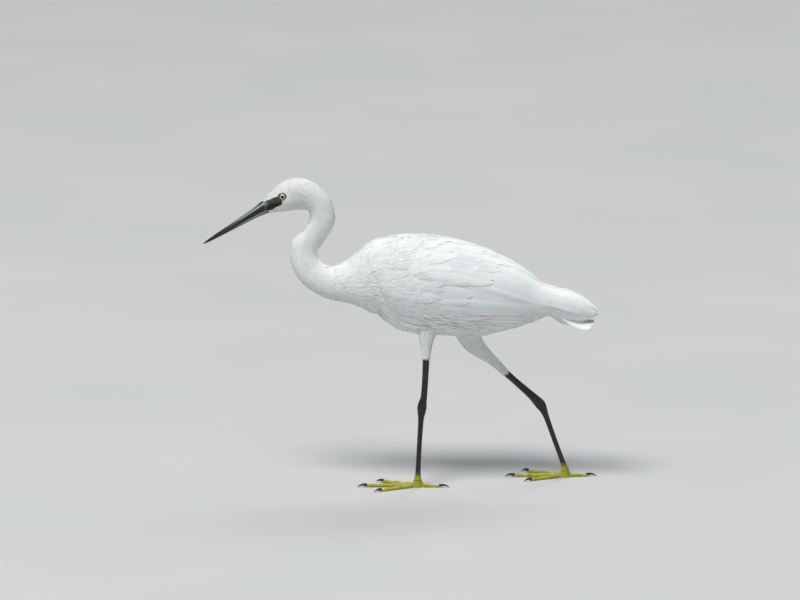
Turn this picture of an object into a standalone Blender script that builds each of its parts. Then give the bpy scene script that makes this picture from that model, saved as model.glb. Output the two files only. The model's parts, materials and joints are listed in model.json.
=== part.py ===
"""Little egret, life size, as a still model in a walking pose.

Metres, +Z up. The bird faces -X with its left side towards -Y. The origin is on the
floor under the middle of the bird. Sizes below are in millimetres.
"""
import math
import random

import bmesh
import bpy
from mathutils import Matrix, Vector

MM = 0.001
GAP = 0.3 * MM
SIDES = {"left": -1, "right": 1}

# The body's spine from the root of the bill to the tips of the folded wings:
# x, z, depth above it, depth below it, half width. Behind the rump the sections
# only carry the folded wings, which close like a roof over the tail.
BODY = (
    (-171.0, 329.5, 6.4, 6.4, 5.0),
    (-160.7, 335.7, 8.3, 8.3, 6.8),
    (-150.4, 341.9, 13.0, 14.0, 10.4),
    (-139.7, 345.9, 18.3, 16.2, 13.0),
    (-120.2, 351.5, 19.4, 19.2, 13.6),
    (-100.0, 343.0, 15.4, 15.4, 11.8),
    (-93.7, 327.8, 14.6, 14.6, 10.8),
    (-94.0, 317.4, 14.7, 14.7, 10.6),
    (-103.5, 300.4, 14.0, 14.0, 10.4),
    (-116.0, 283.3, 16.8, 16.8, 11.5),
    (-108.9, 259.0, 16.8, 16.8, 12.8),
    (-86.9, 244.4, 19.3, 19.3, 16.0),
    (-60.7, 244.4, 27.0, 27.0, 22.5),
    (-42.8, 247.5, 36.5, 40.5, 30.0),
    (-25.0, 249.7, 48.5, 46.4, 35.5),
    (-1.2, 247.1, 52.0, 56.3, 39.5),
    (22.6, 242.6, 55.0, 60.2, 41.5),
    (58.3, 238.3, 52.8, 58.4, 41.0),
    (94.0, 232.3, 48.0, 54.0, 38.0),
    (117.8, 229.4, 40.5, 46.5, 34.0),
    (141.6, 225.6, 31.5, 37.0, 27.5),
    (159.5, 222.8, 21.5, 27.0, 21.5),
    (177.3, 221.7, 15.5, 18.0, 17.0),
    (200.0, 216.0, 16.0, 24.0, 16.5),
    (220.0, 210.0, 11.5, 18.0, 13.0),
    (238.0, 205.0, 4.0, 8.0, 8.0),
    (250.0, 201.0, 2.0, 4.0, 5.0),
)
BILL_ROOT = 1
CUTS = {"head": 4.75, "neck_upper": 7.6, "neck_middle": 9.9, "neck_lower": 12.05}
RUMP = 22
BODY_SQUARENESS = 2.15

BILL_LENGTH = 87.6
BILL_HALF_DEPTHS = ((0, 8.1), (0.15, 6.1), (0.31, 5.0), (0.47, 4.1), (0.63, 3.3), (0.79, 2.5),
                    (0.92, 1.5), (1, 0.5))
BILL_HALF_WIDTHS = ((0, 6.6), (0.15, 5.0), (0.31, 4.0), (0.47, 3.2), (0.63, 2.5), (0.79, 1.9),
                    (0.92, 1.3), (1, 0.5))
LOWER_BILL_REACH = 0.975
NOSTRIL = {"reach": 14.0, "height": 2.0, "length": 9.0, "depth": 1.3, "slit": 1.4}

EYE_CENTRE = (-140.4, 8.9, 350.0)
EYE_RADIUS = 5.4
LID_RADIUS = 5.0
LID_THICKNESS = 1.1
LID_OUT = 3.2
MOUTH_CORNER = (-140.0, 12.6, 341.8)
MOUTH_SLIT = 0.6
MOUTH_DEPTH = 3.2

WING_FRONT = -34.0
WING_FRONT_AT = 0.45
WING_FRONT_TOP = 36.0
WING_FRONT_LOW = 22.0
WING_LOW_ANGLES = ((-40, 122), (40, 122), (110, 116), (170, 120), (200, 120), (240, 118))
WING_THICKNESS = ((-40, 2.4), (-15, 2.4), (50, 2.4), (120, 2.2), (190, 1.8), (240, 1.2))
WING_ENDS = ((0, 192.0), (0.6, 186.0), (1, 164.0))
WING_UNDERSIDE = -1.6
# The share of its full thickness that the wing has at its front and low edges, and how
# fast it grows from there.
WING_EDGE_FRONT = 0.7
WING_FRONT_GROWTH = 4.0
WING_EDGE_LOW = 0.35
WING_LOW_GROWTH = 5.0
WING_STEPS = 13
WING_COLUMNS = 7

VANE_THICKNESS = 0.6
# Share of a vane's half width along its length, from the root to its rounded tip.
VANE_OUTLINE = ((0, 0.55), (0.35, 0.95), (0.72, 0.95), (1, 0.3))
VANE_ROWS = (0, 0.35, 0.72, 1)
VANE_ROOT_DEPTH = 1.2
VANE_TIP_RISE = 0.4
VANE_STEP = 1.2
VANE_SEED = 7
# The tiers of the folded wing from the lowest to the one on top: how many vanes, where
# their roots and tips lie along the body and the shares round the body, each for the
# first and the last vane, their half width, and how high they lie over the wing's slab.
# VANE_STEP is how much higher each lies than the next one below, where they overlap.
WING_TIERS = {
    "primaries": {"count": 4, "roots": (150, 140), "tips": (236, 214), "shares": (0.66, 0.98),
                  "half_width": 5.6, "level": -0.9},
    "tertials": {"count": 5, "roots": (104, 90), "tips": (224, 233), "shares": (0.11, 0.66),
                 "half_width": 7.2, "level": 1.4},
    "secondaries": {"count": 3, "roots": (72, 60), "tips": (206, 168), "shares": (0.78, 0.96),
                    "half_width": 6.2, "level": 1.4},
    "greater_coverts": {"count": 5, "roots": (34, 4), "tips": (128, 84), "shares": (0.50, 0.96),
                        "half_width": 8.0, "level": 2.3},
    "median_coverts": {"count": 4, "roots": (0, -12), "tips": (64, 40), "shares": (0.50, 0.92),
                       "half_width": 9.6, "level": 3.2},
    "rear_scapulars": {"count": 4, "roots": (62, 50), "tips": (176, 142), "shares": (0.10, 0.52),
                       "half_width": 8.4, "level": 2.7},
    "scapulars": {"count": 4, "roots": (8, -8), "tips": (114, 84), "shares": (0.09, 0.46),
                  "half_width": 9.0, "level": 3.7},
}

# The tail's middle line, along the body and up, and its half width and half depth there.
TAIL_LINE = ((178, 209.5), (190, 204.5), (201, 199.5), (212, 196), (228, 193.6))
TAIL_STUB_END = 197.0
TAIL_VANES = 12
TAIL_VANE_ROOT = 184.0
TAIL_VANE_HALF_WIDTH = 5.6
TAIL_SPREAD = 2.5
TAIL_STEP = 0.95
TAIL_TOP_RISE = 1.5
TAIL_VANE_SAG = 0.05
# How far the fan is closed at its root, against its tips.
TAIL_ROOT_SPREAD = 0.62
# The stub that carries the vanes: share of its length, half width, half depth.
TAIL_STUB = ((0, 10.5, 4.2), (0.5, 11.5, 3.4), (1, 12.5, 1.6))
TAIL_TIP_STAGGER = 0.9

# Each leg from the body down: x, y, z, half depth, half width.
THIGHS = {
    "left": ((35, -19, 206, 15, 9.5), (32, -21, 192, 13.5, 9.5), (30.5, -23, 181, 9.0, 8.0),
             (30, -24, 170, 6.8, 6.2), (29.8, -24.5, 160.5, 5.4, 5.0)),
    "right": ((72, 18, 203, 19, 10), (77, 20, 188, 17.5, 10.5), (84.5, 21.5, 168.6, 13.3, 9.9),
              (94.3, 22.8, 156.9, 9.8, 8.4), (106.5, 23.9, 146.5, 6.7, 6.5),
              (115.5, 24.5, 138.3, 5.5, 5.3), (123, 25, 130.5, 4.8, 4.6)),
}
SHANKS = {
    "left": ((29.8, -24.5, 160.5, 4.3, 3.9), (29.2, -24.8, 140, 3.8, 3.4), (27.4, -25, 112, 3.8, 3.3),
             (25.8, -25, 103, 4.8, 4.3), (25, -25, 97.5, 5.6, 4.9)),
    "right": ((123, 25, 130.5, 4.1, 3.8), (138, 25.6, 116.8, 3.9, 3.4),
              (155, 26, 101.5, 4.6, 3.7), (163, 26, 93.6, 5.7, 4.6), (167, 26, 89, 6.1, 5.0)),
}
TARSI = {
    "left": ((25, -25, 97.5, 5.5, 4.8), (24.4, -25, 91, 4.8, 4.2), (23.6, -25, 80, 3.3, 2.9),
             (21.5, -25, 45, 2.9, 2.6), (20.3, -25, 18, 3.2, 3.2), (20, -25, 9, 4.6, 4.8)),
    "right": ((167, 26, 89, 6.0, 4.9), (170.5, 26, 83, 4.8, 4.2), (174.5, 26, 73, 3.3, 2.9),
              (185.5, 26, 42, 2.9, 2.6), (194.2, 26, 18, 3.2, 3.2), (197, 26, 9, 4.6, 4.8)),
}
FOOT_RADIUS = 6.2
FOOT_HEIGHT = 9.6
# Each toe: angle from straight ahead towards the outside, length, width at its root.
TOES = {"inner": (-27, 47, 6.2), "middle": (1, 62, 6.6), "outer": (29, 51, 6.2), "hind": (174, 27, 5.8)}
TOE_PAD_SPACING = 14.0
TOE_WEDGE = 0.235
CLAW_LENGTHS = {"inner": 9.0, "middle": 10.0, "outer": 8.5, "hind": 11.0}
CLAW_RISE = 2.4
CLAW_ARCH = 1.1
CLAW_DROP = 1.9

MATERIALS = {
    "plumage": ((0.90, 0.90, 0.87), 0.85),
    "bill": ((0.03, 0.03, 0.035), 0.35),
    "leg": ((0.035, 0.033, 0.03), 0.5),
    "toe": ((0.62, 0.60, 0.16), 0.5),
    "claw": ((0.05, 0.045, 0.04), 0.35),
    "eye": ((0.72, 0.70, 0.38), 0.1),
}


def remove_objects():
    for thing in list(bpy.data.objects):
        bpy.data.objects.remove(thing, do_unlink=True)


def material(name):
    made = bpy.data.materials.get(name)
    if made is None:
        colour, roughness = MATERIALS[name]
        made = bpy.data.materials.new(name)
        made.use_nodes = True
        shader = made.node_tree.nodes["Principled BSDF"]
        shader.inputs["Base Color"].default_value = (*colour, 1)
        shader.inputs["Roughness"].default_value = roughness
        shader.inputs["Metallic"].default_value = 0
    return made


def add_object(name, shape, finish):
    """A bmesh becomes an object of its own, with a copy of its finish."""
    mesh = bpy.data.meshes.new(name)
    bmesh.ops.recalc_face_normals(shape, faces=shape.faces[:])
    shape.to_mesh(mesh)
    shape.free()
    mesh.materials.append(material(finish))
    made = bpy.data.objects.new(name, mesh)
    bpy.context.scene.collection.objects.link(made)
    return made


def smooth(made, angle=50):
    made.data.shade_smooth()
    made.data.set_sharp_from_angle(angle=math.radians(angle))


def largest_surface(mesh):
    """Only the closed surface with the greatest volume stays."""
    shape = bmesh.new()
    shape.from_mesh(mesh)
    todo = set(shape.verts)
    groups = []
    while todo:
        group = [todo.pop()]
        for vert in group:
            for edge in vert.link_edges:
                other = edge.other_vert(vert)
                if other in todo:
                    todo.remove(other)
                    group.append(other)
        groups.append(group)

    def volume(group):
        total = 0.0
        for face in {face for vert in group for face in vert.link_faces}:
            corners = [vert.co for vert in face.verts]
            for second, third in zip(corners[1:], corners[2:]):
                total += corners[0].dot(second.cross(third))
        return abs(total)

    groups.sort(key=volume, reverse=True)
    spare = [vert for group in groups[1:] for vert in group]
    bmesh.ops.delete(shape, geom=spare, context="VERTS")
    shape.to_mesh(mesh)
    shape.free()


def combine(made, operation, others, solver="EXACT"):
    """One Boolean with a collection of closed pieces, applied at once."""
    pieces = bpy.data.collections.new("pieces")
    bpy.context.scene.collection.children.link(pieces)
    for other in others:
        pieces.objects.link(other)
    change = made.modifiers.new("combine", "BOOLEAN")
    change.operation = operation
    change.solver = solver
    change.operand_type = "COLLECTION"
    change.collection = pieces
    graph = bpy.context.evaluated_depsgraph_get()
    finished = bpy.data.meshes.new_from_object(made.evaluated_get(graph))
    finished.name = made.name
    made.modifiers.clear()
    made.data = finished
    for other in others:
        bpy.data.objects.remove(other, do_unlink=True)
    bpy.data.collections.remove(pieces)
    largest_surface(made.data)


def between(points, place):
    """The value at a place on a broken line of (place, value) points."""
    if place <= points[0][0]:
        return points[0][1]
    for (start, low), (end, high) in zip(points, points[1:]):
        if place <= end:
            return low + (high - low) * (place - start) / (end - start)
    return points[-1][1]


def curve_value(rows, at):
    """A smooth curve through rows of numbers, read at a row number with a fraction."""
    last = len(rows) - 1
    first = min(max(int(at), 0), last - 1)
    part = at - first
    rows4 = [rows[min(max(first + step, 0), last)] for step in (-1, 0, 1, 2)]
    found = []
    for a, b, c, d in zip(*rows4):
        curve = 2 * b + (c - a) * part + (2 * a - 5 * b + 4 * c - d) * part ** 2
        found.append(0.5 * (curve + (3 * b - a - 3 * c + d) * part ** 3))
    return found


def section(at):
    """Centre, dorsal direction, spine direction and sizes of the body at a station."""
    step = 0.02
    x, z, above, below, wide = (value * MM for value in curve_value(BODY, at))
    ahead = curve_value(BODY, at + step)
    behind = curve_value(BODY, at - step)
    along = Vector((ahead[0] - behind[0], 0, ahead[1] - behind[1])).normalized()
    dorsal = Vector((-along.z, 0, along.x))
    return Vector((x, 0, z)), dorsal, along, above, below, wide


def body_point(at, angle, side=1, lift=0.0, shift=0.0):
    """A point on the body, angle degrees from the back round to one side."""
    centre, dorsal, along, above, below, wide = section(at)
    power = 2 / BODY_SQUARENESS
    across = math.sin(math.radians(angle))
    upward = math.cos(math.radians(angle))
    deep = above if upward > 0 else below
    out = Vector((across / wide, upward / deep)).normalized() * lift
    y = math.copysign(abs(across) ** power, across) * wide + out.x
    z = math.copysign(abs(upward) ** power, upward) * deep + out.y
    return centre + dorsal * z + Vector((0, side * y, 0)) + along * shift


def station_at(x):
    """The station whose centre lies at x, in the trunk, where x only grows."""
    low, high = 11.0, len(BODY) - 1.0
    for _ in range(24):
        middle = (low + high) / 2
        if curve_value(BODY, middle)[0] < x:
            low = middle
        else:
            high = middle
    return low


def loft(rings):
    """A closed skin drawn from ring to ring, by extruding the last face."""
    shape = bmesh.new()
    face = shape.faces.new([shape.verts.new(point) for point in rings[0]])
    for ring in rings[1:]:
        face = bmesh.ops.extrude_discrete_faces(shape, faces=[face])["faces"][0]
        for vert, point in zip(face.verts, ring):
            vert.co = point
    bmesh.ops.holes_fill(shape, edges=[edge for edge in shape.edges if edge.is_boundary])
    return shape


def body_ring(at, sides, lift=0.0, shift=0.0):
    return [body_point(at, 360 * turn / sides, 1, lift, shift) for turn in range(sides)]


def body_loft(start, end, rings, sides, lift=0.0):
    """A length of the body between two stations, its ends half a gap short.

    The lift grows it all round, and at its ends."""
    made = []
    short = GAP / 2 - lift
    for step in range(rings + 1):
        at = start + (end - start) * step / rings
        shift = short if step == 0 else -short if step == rings else 0.0
        made.append(body_ring(at, sides, lift, shift))
    return loft(made)


def tube(rows, sides, before=None, after=None):
    """A round form down a limb, given by (x, y, z, half depth, half width) rows.

    The row before and the row after it turn its ends square to the limb, so that they
    lie flat against the next length."""
    centres = [Vector(row[:3]) * MM for row in rows]
    line = [Vector((before or rows[0])[:3]) * MM] + centres + [Vector((after or rows[-1])[:3]) * MM]
    rings = []
    for index, row in enumerate(rows):
        along = (line[index + 2] - line[index]).normalized()
        deep = Vector((0, 1, 0)).cross(along).normalized()
        wide = along.cross(deep)
        shift = along * (GAP / 2 if index == 0 else -GAP / 2 if index == len(rows) - 1 else 0)
        ring = []
        for turn in range(sides):
            angle = 2 * math.pi * turn / sides
            offset = deep * math.cos(angle) * row[3] + wide * math.sin(angle) * row[4]
            ring.append(centres[index] + shift + offset * MM)
        rings.append(ring)
    return loft(rings)


def smooth_rows(rows, steps):
    count = (len(rows) - 1) * steps
    return [curve_value(rows, step / steps) for step in range(count + 1)]


def bill_frame():
    centre, dorsal, along, _, _, _ = section(BILL_ROOT)
    return centre, dorsal, -along


def make_bill_half(name, upward, reach):
    """Half of the bill, flat along the mouth line, tapering to a fine tip."""
    centre, dorsal, forward = bill_frame()
    arc = 7
    rings = []
    for step in range(13):
        share = reach * step / 12
        deep = between(BILL_HALF_DEPTHS, share) * MM
        wide = between(BILL_HALF_WIDTHS, share) * MM
        base = centre + forward * (GAP / 2 + share * (BILL_LENGTH * MM - GAP / 2))
        ring = []
        for turn in range(arc):
            angle = math.pi * turn / (arc - 1)
            y = wide * math.cos(angle)
            z = GAP / 2 + (deep - GAP / 2) * math.sin(angle) ** 0.9
            ring.append(base + Vector((0, y, 0)) + dorsal * z * upward)
        rings.append(ring)
    return add_object(name, loft(rings), "bill")


def nostril_cutters():
    centre, dorsal, forward = bill_frame()
    cutters = []
    for side in SIDES.values():
        shape = bmesh.new()
        bmesh.ops.create_uvsphere(shape, u_segments=8, v_segments=6, radius=1)
        wide = between(BILL_HALF_WIDTHS, NOSTRIL["reach"] / BILL_LENGTH)
        place = centre + (forward * NOSTRIL["reach"] + dorsal * NOSTRIL["height"]) * MM
        place += Vector((0, side * wide * 0.94 * MM, 0))
        turn = Matrix((forward, Vector((0, 1, 0)), dorsal)).transposed().to_4x4()
        size = Matrix.Diagonal((NOSTRIL["length"] / 2 * MM, NOSTRIL["depth"] * MM,
                                NOSTRIL["slit"] / 2 * MM, 1))
        bmesh.ops.transform(shape, matrix=Matrix.Translation(place) @ turn @ size, verts=shape.verts)
        cutters.append(add_object("nostril", shape, "bill"))
    return cutters


def ball(name, centre, radius, finish, across, down):
    shape = bmesh.new()
    bmesh.ops.create_uvsphere(shape, u_segments=across, v_segments=down, radius=radius * MM)
    turn = Matrix.Rotation(math.radians(90), 4, "X")
    bmesh.ops.transform(shape, matrix=Matrix.Translation(Vector(centre) * MM) @ turn, verts=shape.verts)
    return add_object(name, shape, finish)


def lid_ring(side):
    """The bare swollen ring of the lids, lying on the side of the head."""
    x, y, z = EYE_CENTRE
    shape = bmesh.new()
    bmesh.ops.create_circle(shape, cap_ends=True, segments=5, radius=LID_THICKNESS * MM,
                            matrix=Matrix.Translation((LID_RADIUS * MM, 0, 0))
                            @ Matrix.Rotation(math.radians(90), 4, "X"))
    bmesh.ops.spin(shape, geom=shape.faces[:] + shape.edges[:] + shape.verts[:], angle=2 * math.pi,
                   steps=14, axis=(0, 0, 1), cent=(0, 0, 0), use_merge=True)
    inner = [face for face in shape.faces if len(face.verts) > 4]
    bmesh.ops.delete(shape, geom=inner, context="FACES_ONLY")
    bmesh.ops.remove_doubles(shape, verts=shape.verts[:], dist=GAP / 10)
    turn = Matrix.Rotation(math.radians(90), 4, "X")
    place = Matrix.Translation(Vector((x, side * (y + LID_OUT), z)) * MM)
    bmesh.ops.transform(shape, matrix=place @ turn, verts=shape.verts)
    return add_object("lid", shape, "plumage")


def mouth_cutter(side):
    """A thin plate that opens the line of the mouth back to its corner."""
    centre, _, _ = bill_frame()
    start = centre + Vector((0, side * BODY[BILL_ROOT][4] * MM, 0))
    x, y, z = MOUTH_CORNER
    end = Vector((x, side * y, z)) * MM
    along = end - start
    shape = bmesh.new()
    bmesh.ops.create_cube(shape, size=1)
    forward = along.normalized()
    upward = Vector((-forward.z, 0, forward.x)).normalized()
    turn = Matrix((forward, upward.cross(forward), upward)).transposed().to_4x4()
    size = Matrix.Diagonal((along.length + 2 * MM, MOUTH_DEPTH * MM, MOUTH_SLIT * MM, 1))
    place = Matrix.Translation((start + end) / 2 - forward * MM)
    bmesh.ops.transform(shape, matrix=place @ turn @ size, verts=shape.verts)
    return add_object("mouth", shape, "plumage")


def make_head():
    head = add_object("head", body_loft(BILL_ROOT, CUTS["head"], 11, 16), "plumage")
    combine(head, "UNION", [lid_ring(side) for side in SIDES.values()])
    cutters = [mouth_cutter(side) for side in SIDES.values()]
    x, y, z = EYE_CENTRE
    for side in SIDES.values():
        socket = ball("socket", (x, side * y, z), EYE_RADIUS + GAP / MM, "eye", 14, 9)
        cutters.append(socket)
    combine(head, "DIFFERENCE", cutters)
    smooth(head)
    for word, side in SIDES.items():
        eye = ball("eye_" + word, (x, side * y, z), EYE_RADIUS, "eye", 14, 9)
        smooth(eye)
    upper = make_bill_half("bill_upper", 1, 1.0)
    combine(upper, "DIFFERENCE", nostril_cutters())
    smooth(upper)
    lower = make_bill_half("bill_lower", -1, LOWER_BILL_REACH)
    smooth(lower)


def make_neck():
    names = list(CUTS)
    for above, name in zip(names, names[1:]):
        neck = add_object(name, body_loft(CUTS[above], CUTS[name], 8, 16), "plumage")
        smooth(neck)


def trunk_shape(lift=0.0, start=CUTS["neck_lower"]):
    return body_loft(start, RUMP, 22, 22, lift)


def make_torso():
    torso = add_object("torso", trunk_shape(), "plumage")
    smooth(torso)


def trunk_cutter():
    """The torso grown by one gap, to trim what grows from it."""
    return add_object("trunk", trunk_shape(GAP), "plumage")


def wing_point(side, x, share, lift):
    """A point over the folded wing: share runs from the ridge of the back to its low edge."""
    angle = share * between(WING_LOW_ANGLES, x)
    point = body_point(station_at(x), angle, side, lift * MM)
    point.y += side * GAP / 2
    return point


def wing_front(share):
    """Where the wing's front edge lies: it bulges at the bend of the wing."""
    if share < WING_FRONT_AT:
        return WING_FRONT + WING_FRONT_TOP * (1 - share / WING_FRONT_AT) ** 2
    return WING_FRONT + WING_FRONT_LOW * ((share - WING_FRONT_AT) / (1 - WING_FRONT_AT)) ** 2


def wing_slab(side):
    """The body of the folded wing, its underside sunk in the trunk before it is trimmed."""
    rings = []
    for step in range(WING_STEPS + 1):
        share = step / WING_STEPS
        outer, inner = [], []
        for column in range(WING_COLUMNS):
            down = column / (WING_COLUMNS - 1)
            start = wing_front(down)
            x = start + (between(WING_ENDS, down) - start) * share
            front = min(1.0, WING_EDGE_FRONT + WING_FRONT_GROWTH * share)
            low = min(1.0, WING_EDGE_LOW + WING_LOW_GROWTH * (1 - down))
            outer.append(wing_point(side, x, down, between(WING_THICKNESS, x) * front * low))
            inner.append(wing_point(side, x, down, WING_UNDERSIDE))
        rings.append(outer + inner[::-1])
    return loft(rings)


def vane(place, half_width):
    """A thin closed blade over the map place(along, across), for both from 0 to 1 and -1 to 1.

    Its faces are split into triangles before it gets its thickness, so that they are
    split alike on both sides."""
    shape = bmesh.new()
    bmesh.ops.create_grid(shape, x_segments=2, y_segments=len(VANE_ROWS) - 1, size=1)
    bmesh.ops.triangulate(shape, faces=shape.faces[:])
    last = len(VANE_ROWS) - 1
    for vert in shape.verts:
        along = VANE_ROWS[round((vert.co.y + 1) / 2 * last)]
        across = vert.co.x * between(VANE_OUTLINE, along) * half_width
        vert.co = place(along, across)
    bmesh.ops.recalc_face_normals(shape, faces=shape.faces[:])
    bmesh.ops.solidify(shape, geom=shape.faces[:], thickness=VANE_THICKNESS * MM)
    return shape


def wing_vane(side, tier, order, draw):
    """One vane of a tier, laid over the wing along the body."""
    share = order / (tier["count"] - 1)
    root = tier["roots"][0] + (tier["roots"][1] - tier["roots"][0]) * share + draw.uniform(-2, 2)
    tip = tier["tips"][0] + (tier["tips"][1] - tier["tips"][0]) * share + draw.uniform(-2.5, 2.5)
    spacing = (tier["shares"][1] - tier["shares"][0]) / (tier["count"] - 1)
    down = tier["shares"][0] + spacing * order
    half_width = tier["half_width"] * draw.uniform(0.95, 1.05)

    def place(along, across):
        x = root + (tip - root) * along
        girth = (wing_point(side, x, down + 0.05, 0) - wing_point(side, x, down - 0.05, 0)).length
        at = min(max(down + across * 0.1 / (girth / MM), 0.0), 1.05)
        rise = between(((0, -VANE_ROOT_DEPTH), (0.3, tier["level"]), (1, tier["level"] + VANE_TIP_RISE)),
                       along)
        rise += VANE_STEP * (at - down) / spacing
        return wing_point(side, x, at, between(WING_THICKNESS, x) + rise)

    return vane(place, half_width)


def make_wing(word, side):
    """The folded wing: a slab with tiers of vanes, from the long tips up to the scapulars."""
    draw = random.Random(VANE_SEED + side)
    wing = add_object("wing_" + word, wing_slab(side), "plumage")
    vanes = []
    for tier in WING_TIERS.values():
        for order in range(tier["count"]):
            vanes.append(add_object("vane", wing_vane(side, tier, order, draw), "plumage"))
    combine(wing, "UNION", vanes)
    combine(wing, "DIFFERENCE", [trunk_cutter()], "MANIFOLD")
    smooth(wing)


def tail_vane(order, draw):
    """One of the tail's long vanes: the middle pair lies on top, each next one under it."""
    middle = (TAIL_VANES - 1) / 2
    offset = order - middle
    rank = abs(offset) - 0.5
    root = TAIL_VANE_ROOT + draw.uniform(-0.5, 0.5)
    tip = TAIL_LINE[-1][0] - rank * TAIL_TIP_STAGGER + draw.uniform(-0.6, 0.6)

    def place(along, across):
        x = root + (tip - root) * along
        spread = offset * TAIL_SPREAD * (TAIL_ROOT_SPREAD + (1 - TAIL_ROOT_SPREAD) * along)
        z = between(TAIL_LINE, x) + TAIL_TOP_RISE - rank * TAIL_STEP * (0.45 + 0.55 * along)
        return Vector((x, spread + across, z - TAIL_VANE_SAG * abs(across))) * MM

    return vane(place, TAIL_VANE_HALF_WIDTH)


def make_tail():
    """The tail: a short stub with a narrow fan of vanes that slopes down behind the rump."""
    draw = random.Random(VANE_SEED)
    start = TAIL_LINE[0][0]
    rings = []
    for share, wide, deep in TAIL_STUB:
        x = start + (TAIL_STUB_END - start) * share
        ring = []
        for turn in range(14):
            angle = 2 * math.pi * turn / 14
            ring.append(Vector((x, wide * math.sin(angle),
                                between(TAIL_LINE, x) + deep * math.cos(angle))) * MM)
        rings.append(ring)
    tail = add_object("tail", loft(rings), "plumage")
    vanes = []
    for order in range(TAIL_VANES):
        vanes.append(add_object("vane", tail_vane(order, draw), "plumage"))
    combine(tail, "UNION", vanes)
    smooth(tail)


def make_leg(word):
    thigh_rows = smooth_rows(THIGHS[word], 2)
    shank_rows = smooth_rows(SHANKS[word], 2)
    tarsus_rows = smooth_rows(TARSI[word], 2)
    thigh_skin = tube(thigh_rows, 12, after=shank_rows[1])
    thigh = add_object("thigh_" + word, thigh_skin, "plumage")
    combine(thigh, "DIFFERENCE", [trunk_cutter()])
    smooth(thigh)
    shank_skin = tube(shank_rows, 10, thigh_rows[-2], tarsus_rows[1])
    smooth(add_object("shank_" + word, shank_skin, "leg"))
    tarsus = add_object("tarsus_" + word, tube(tarsus_rows, 10, shank_rows[-2]), "leg")
    x, y = TARSI[word][-1][:2]
    foot = bmesh.new()
    bmesh.ops.create_cone(foot, cap_ends=True, segments=12, radius1=FOOT_RADIUS * MM,
                          radius2=FOOT_RADIUS * 0.72 * MM, depth=FOOT_HEIGHT * MM)
    place = Matrix.Translation(Vector((x, y, FOOT_HEIGHT / 2)) * MM)
    bmesh.ops.transform(foot, matrix=place, verts=foot.verts)
    combine(tarsus, "UNION", [add_object("foot", foot, "leg")])
    smooth(tarsus)


def toe_ring(place, forward, half_width, height, sides=8):
    """A section of a toe: round above and flat on the floor."""
    across = Vector((-forward.y, forward.x, 0))
    ring = []
    for turn in range(sides):
        angle = 2 * math.pi * (turn + 0.5) / sides
        z = max(0.0, height * (0.42 + 0.58 * math.cos(angle)))
        ring.append(place + across * half_width * math.sin(angle) + Vector((0, 0, z)))
    return ring


def make_toe(word, name, angle, length, width):
    """One toe with its row of pads, and the curved claw at its end."""
    side = SIDES[word]
    x, y = TARSI[word][-1][:2]
    turned = math.radians(180 - side * angle)
    forward = Vector((math.cos(turned), math.sin(turned), 0))
    hub = Vector((x, y, 0)) * MM
    start = FOOT_RADIUS + GAP / MM
    rings = []
    steps = max(5, round(length / TOE_PAD_SPACING * 2))
    for step in range(steps + 1):
        reach = start + (length - start) * step / steps
        swell = 0.5 + 0.5 * math.cos(2 * math.pi * reach / TOE_PAD_SPACING)
        thick = (1 - 0.3 * reach / length) * (0.84 + 0.16 * swell)
        half = width / 2 * thick
        if name != "hind":
            half = min(half, TOE_WEDGE * reach - GAP / MM / 2)
        rings.append(toe_ring(hub + forward * reach * MM, forward, half * MM,
                              width * 0.86 * thick * MM))
    toe = add_object("toe_" + name + "_" + word, loft(rings), "toe")
    smooth(toe)
    make_claw(word, name, hub + forward * (length * MM + GAP), forward, width * 0.3)


def make_claw(word, name, root, forward, half):
    """A claw that curves forward and down to just over the floor."""
    length = CLAW_LENGTHS[name]
    across = Vector((-forward.y, forward.x, 0))
    rings = []
    steps = 4
    for step in range(steps + 1):
        share = step / steps
        thick = half * (1 - share) ** 0.8 + 0.25
        rise = CLAW_RISE + CLAW_ARCH * math.sin(math.pi * share) - CLAW_DROP * share ** 2
        centre = root + forward * length * share * MM + Vector((0, 0, rise * MM))
        tilt = Vector((0, 0, 1))
        ring = []
        for turn in range(6):
            angle = 2 * math.pi * turn / 6
            offset = across * math.sin(angle) * thick * 0.8 + tilt * math.cos(angle) * thick
            ring.append(centre + offset * MM)
        rings.append(ring)
    claw = add_object("claw_" + name + "_" + word, loft(rings), "claw")
    smooth(claw)


def main():
    remove_objects()
    make_head()
    make_neck()
    make_torso()
    make_tail()
    for word, side in SIDES.items():
        make_wing(word, side)
        make_leg(word)
        for name, (angle, length, width) in TOES.items():
            make_toe(word, name, angle, length, width)


main()
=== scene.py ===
"""Little egret, life size, in a walking step: its plumage, head, bill, legs and feet.

The bird faces -X with its left side towards -Y and stands on z = 0. Sizes are in
millimetres unless a name says otherwise.
"""
from collections import namedtuple
import json
import math

import bmesh
import bpy
import numpy as np
from mathutils import Matrix, Vector

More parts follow.
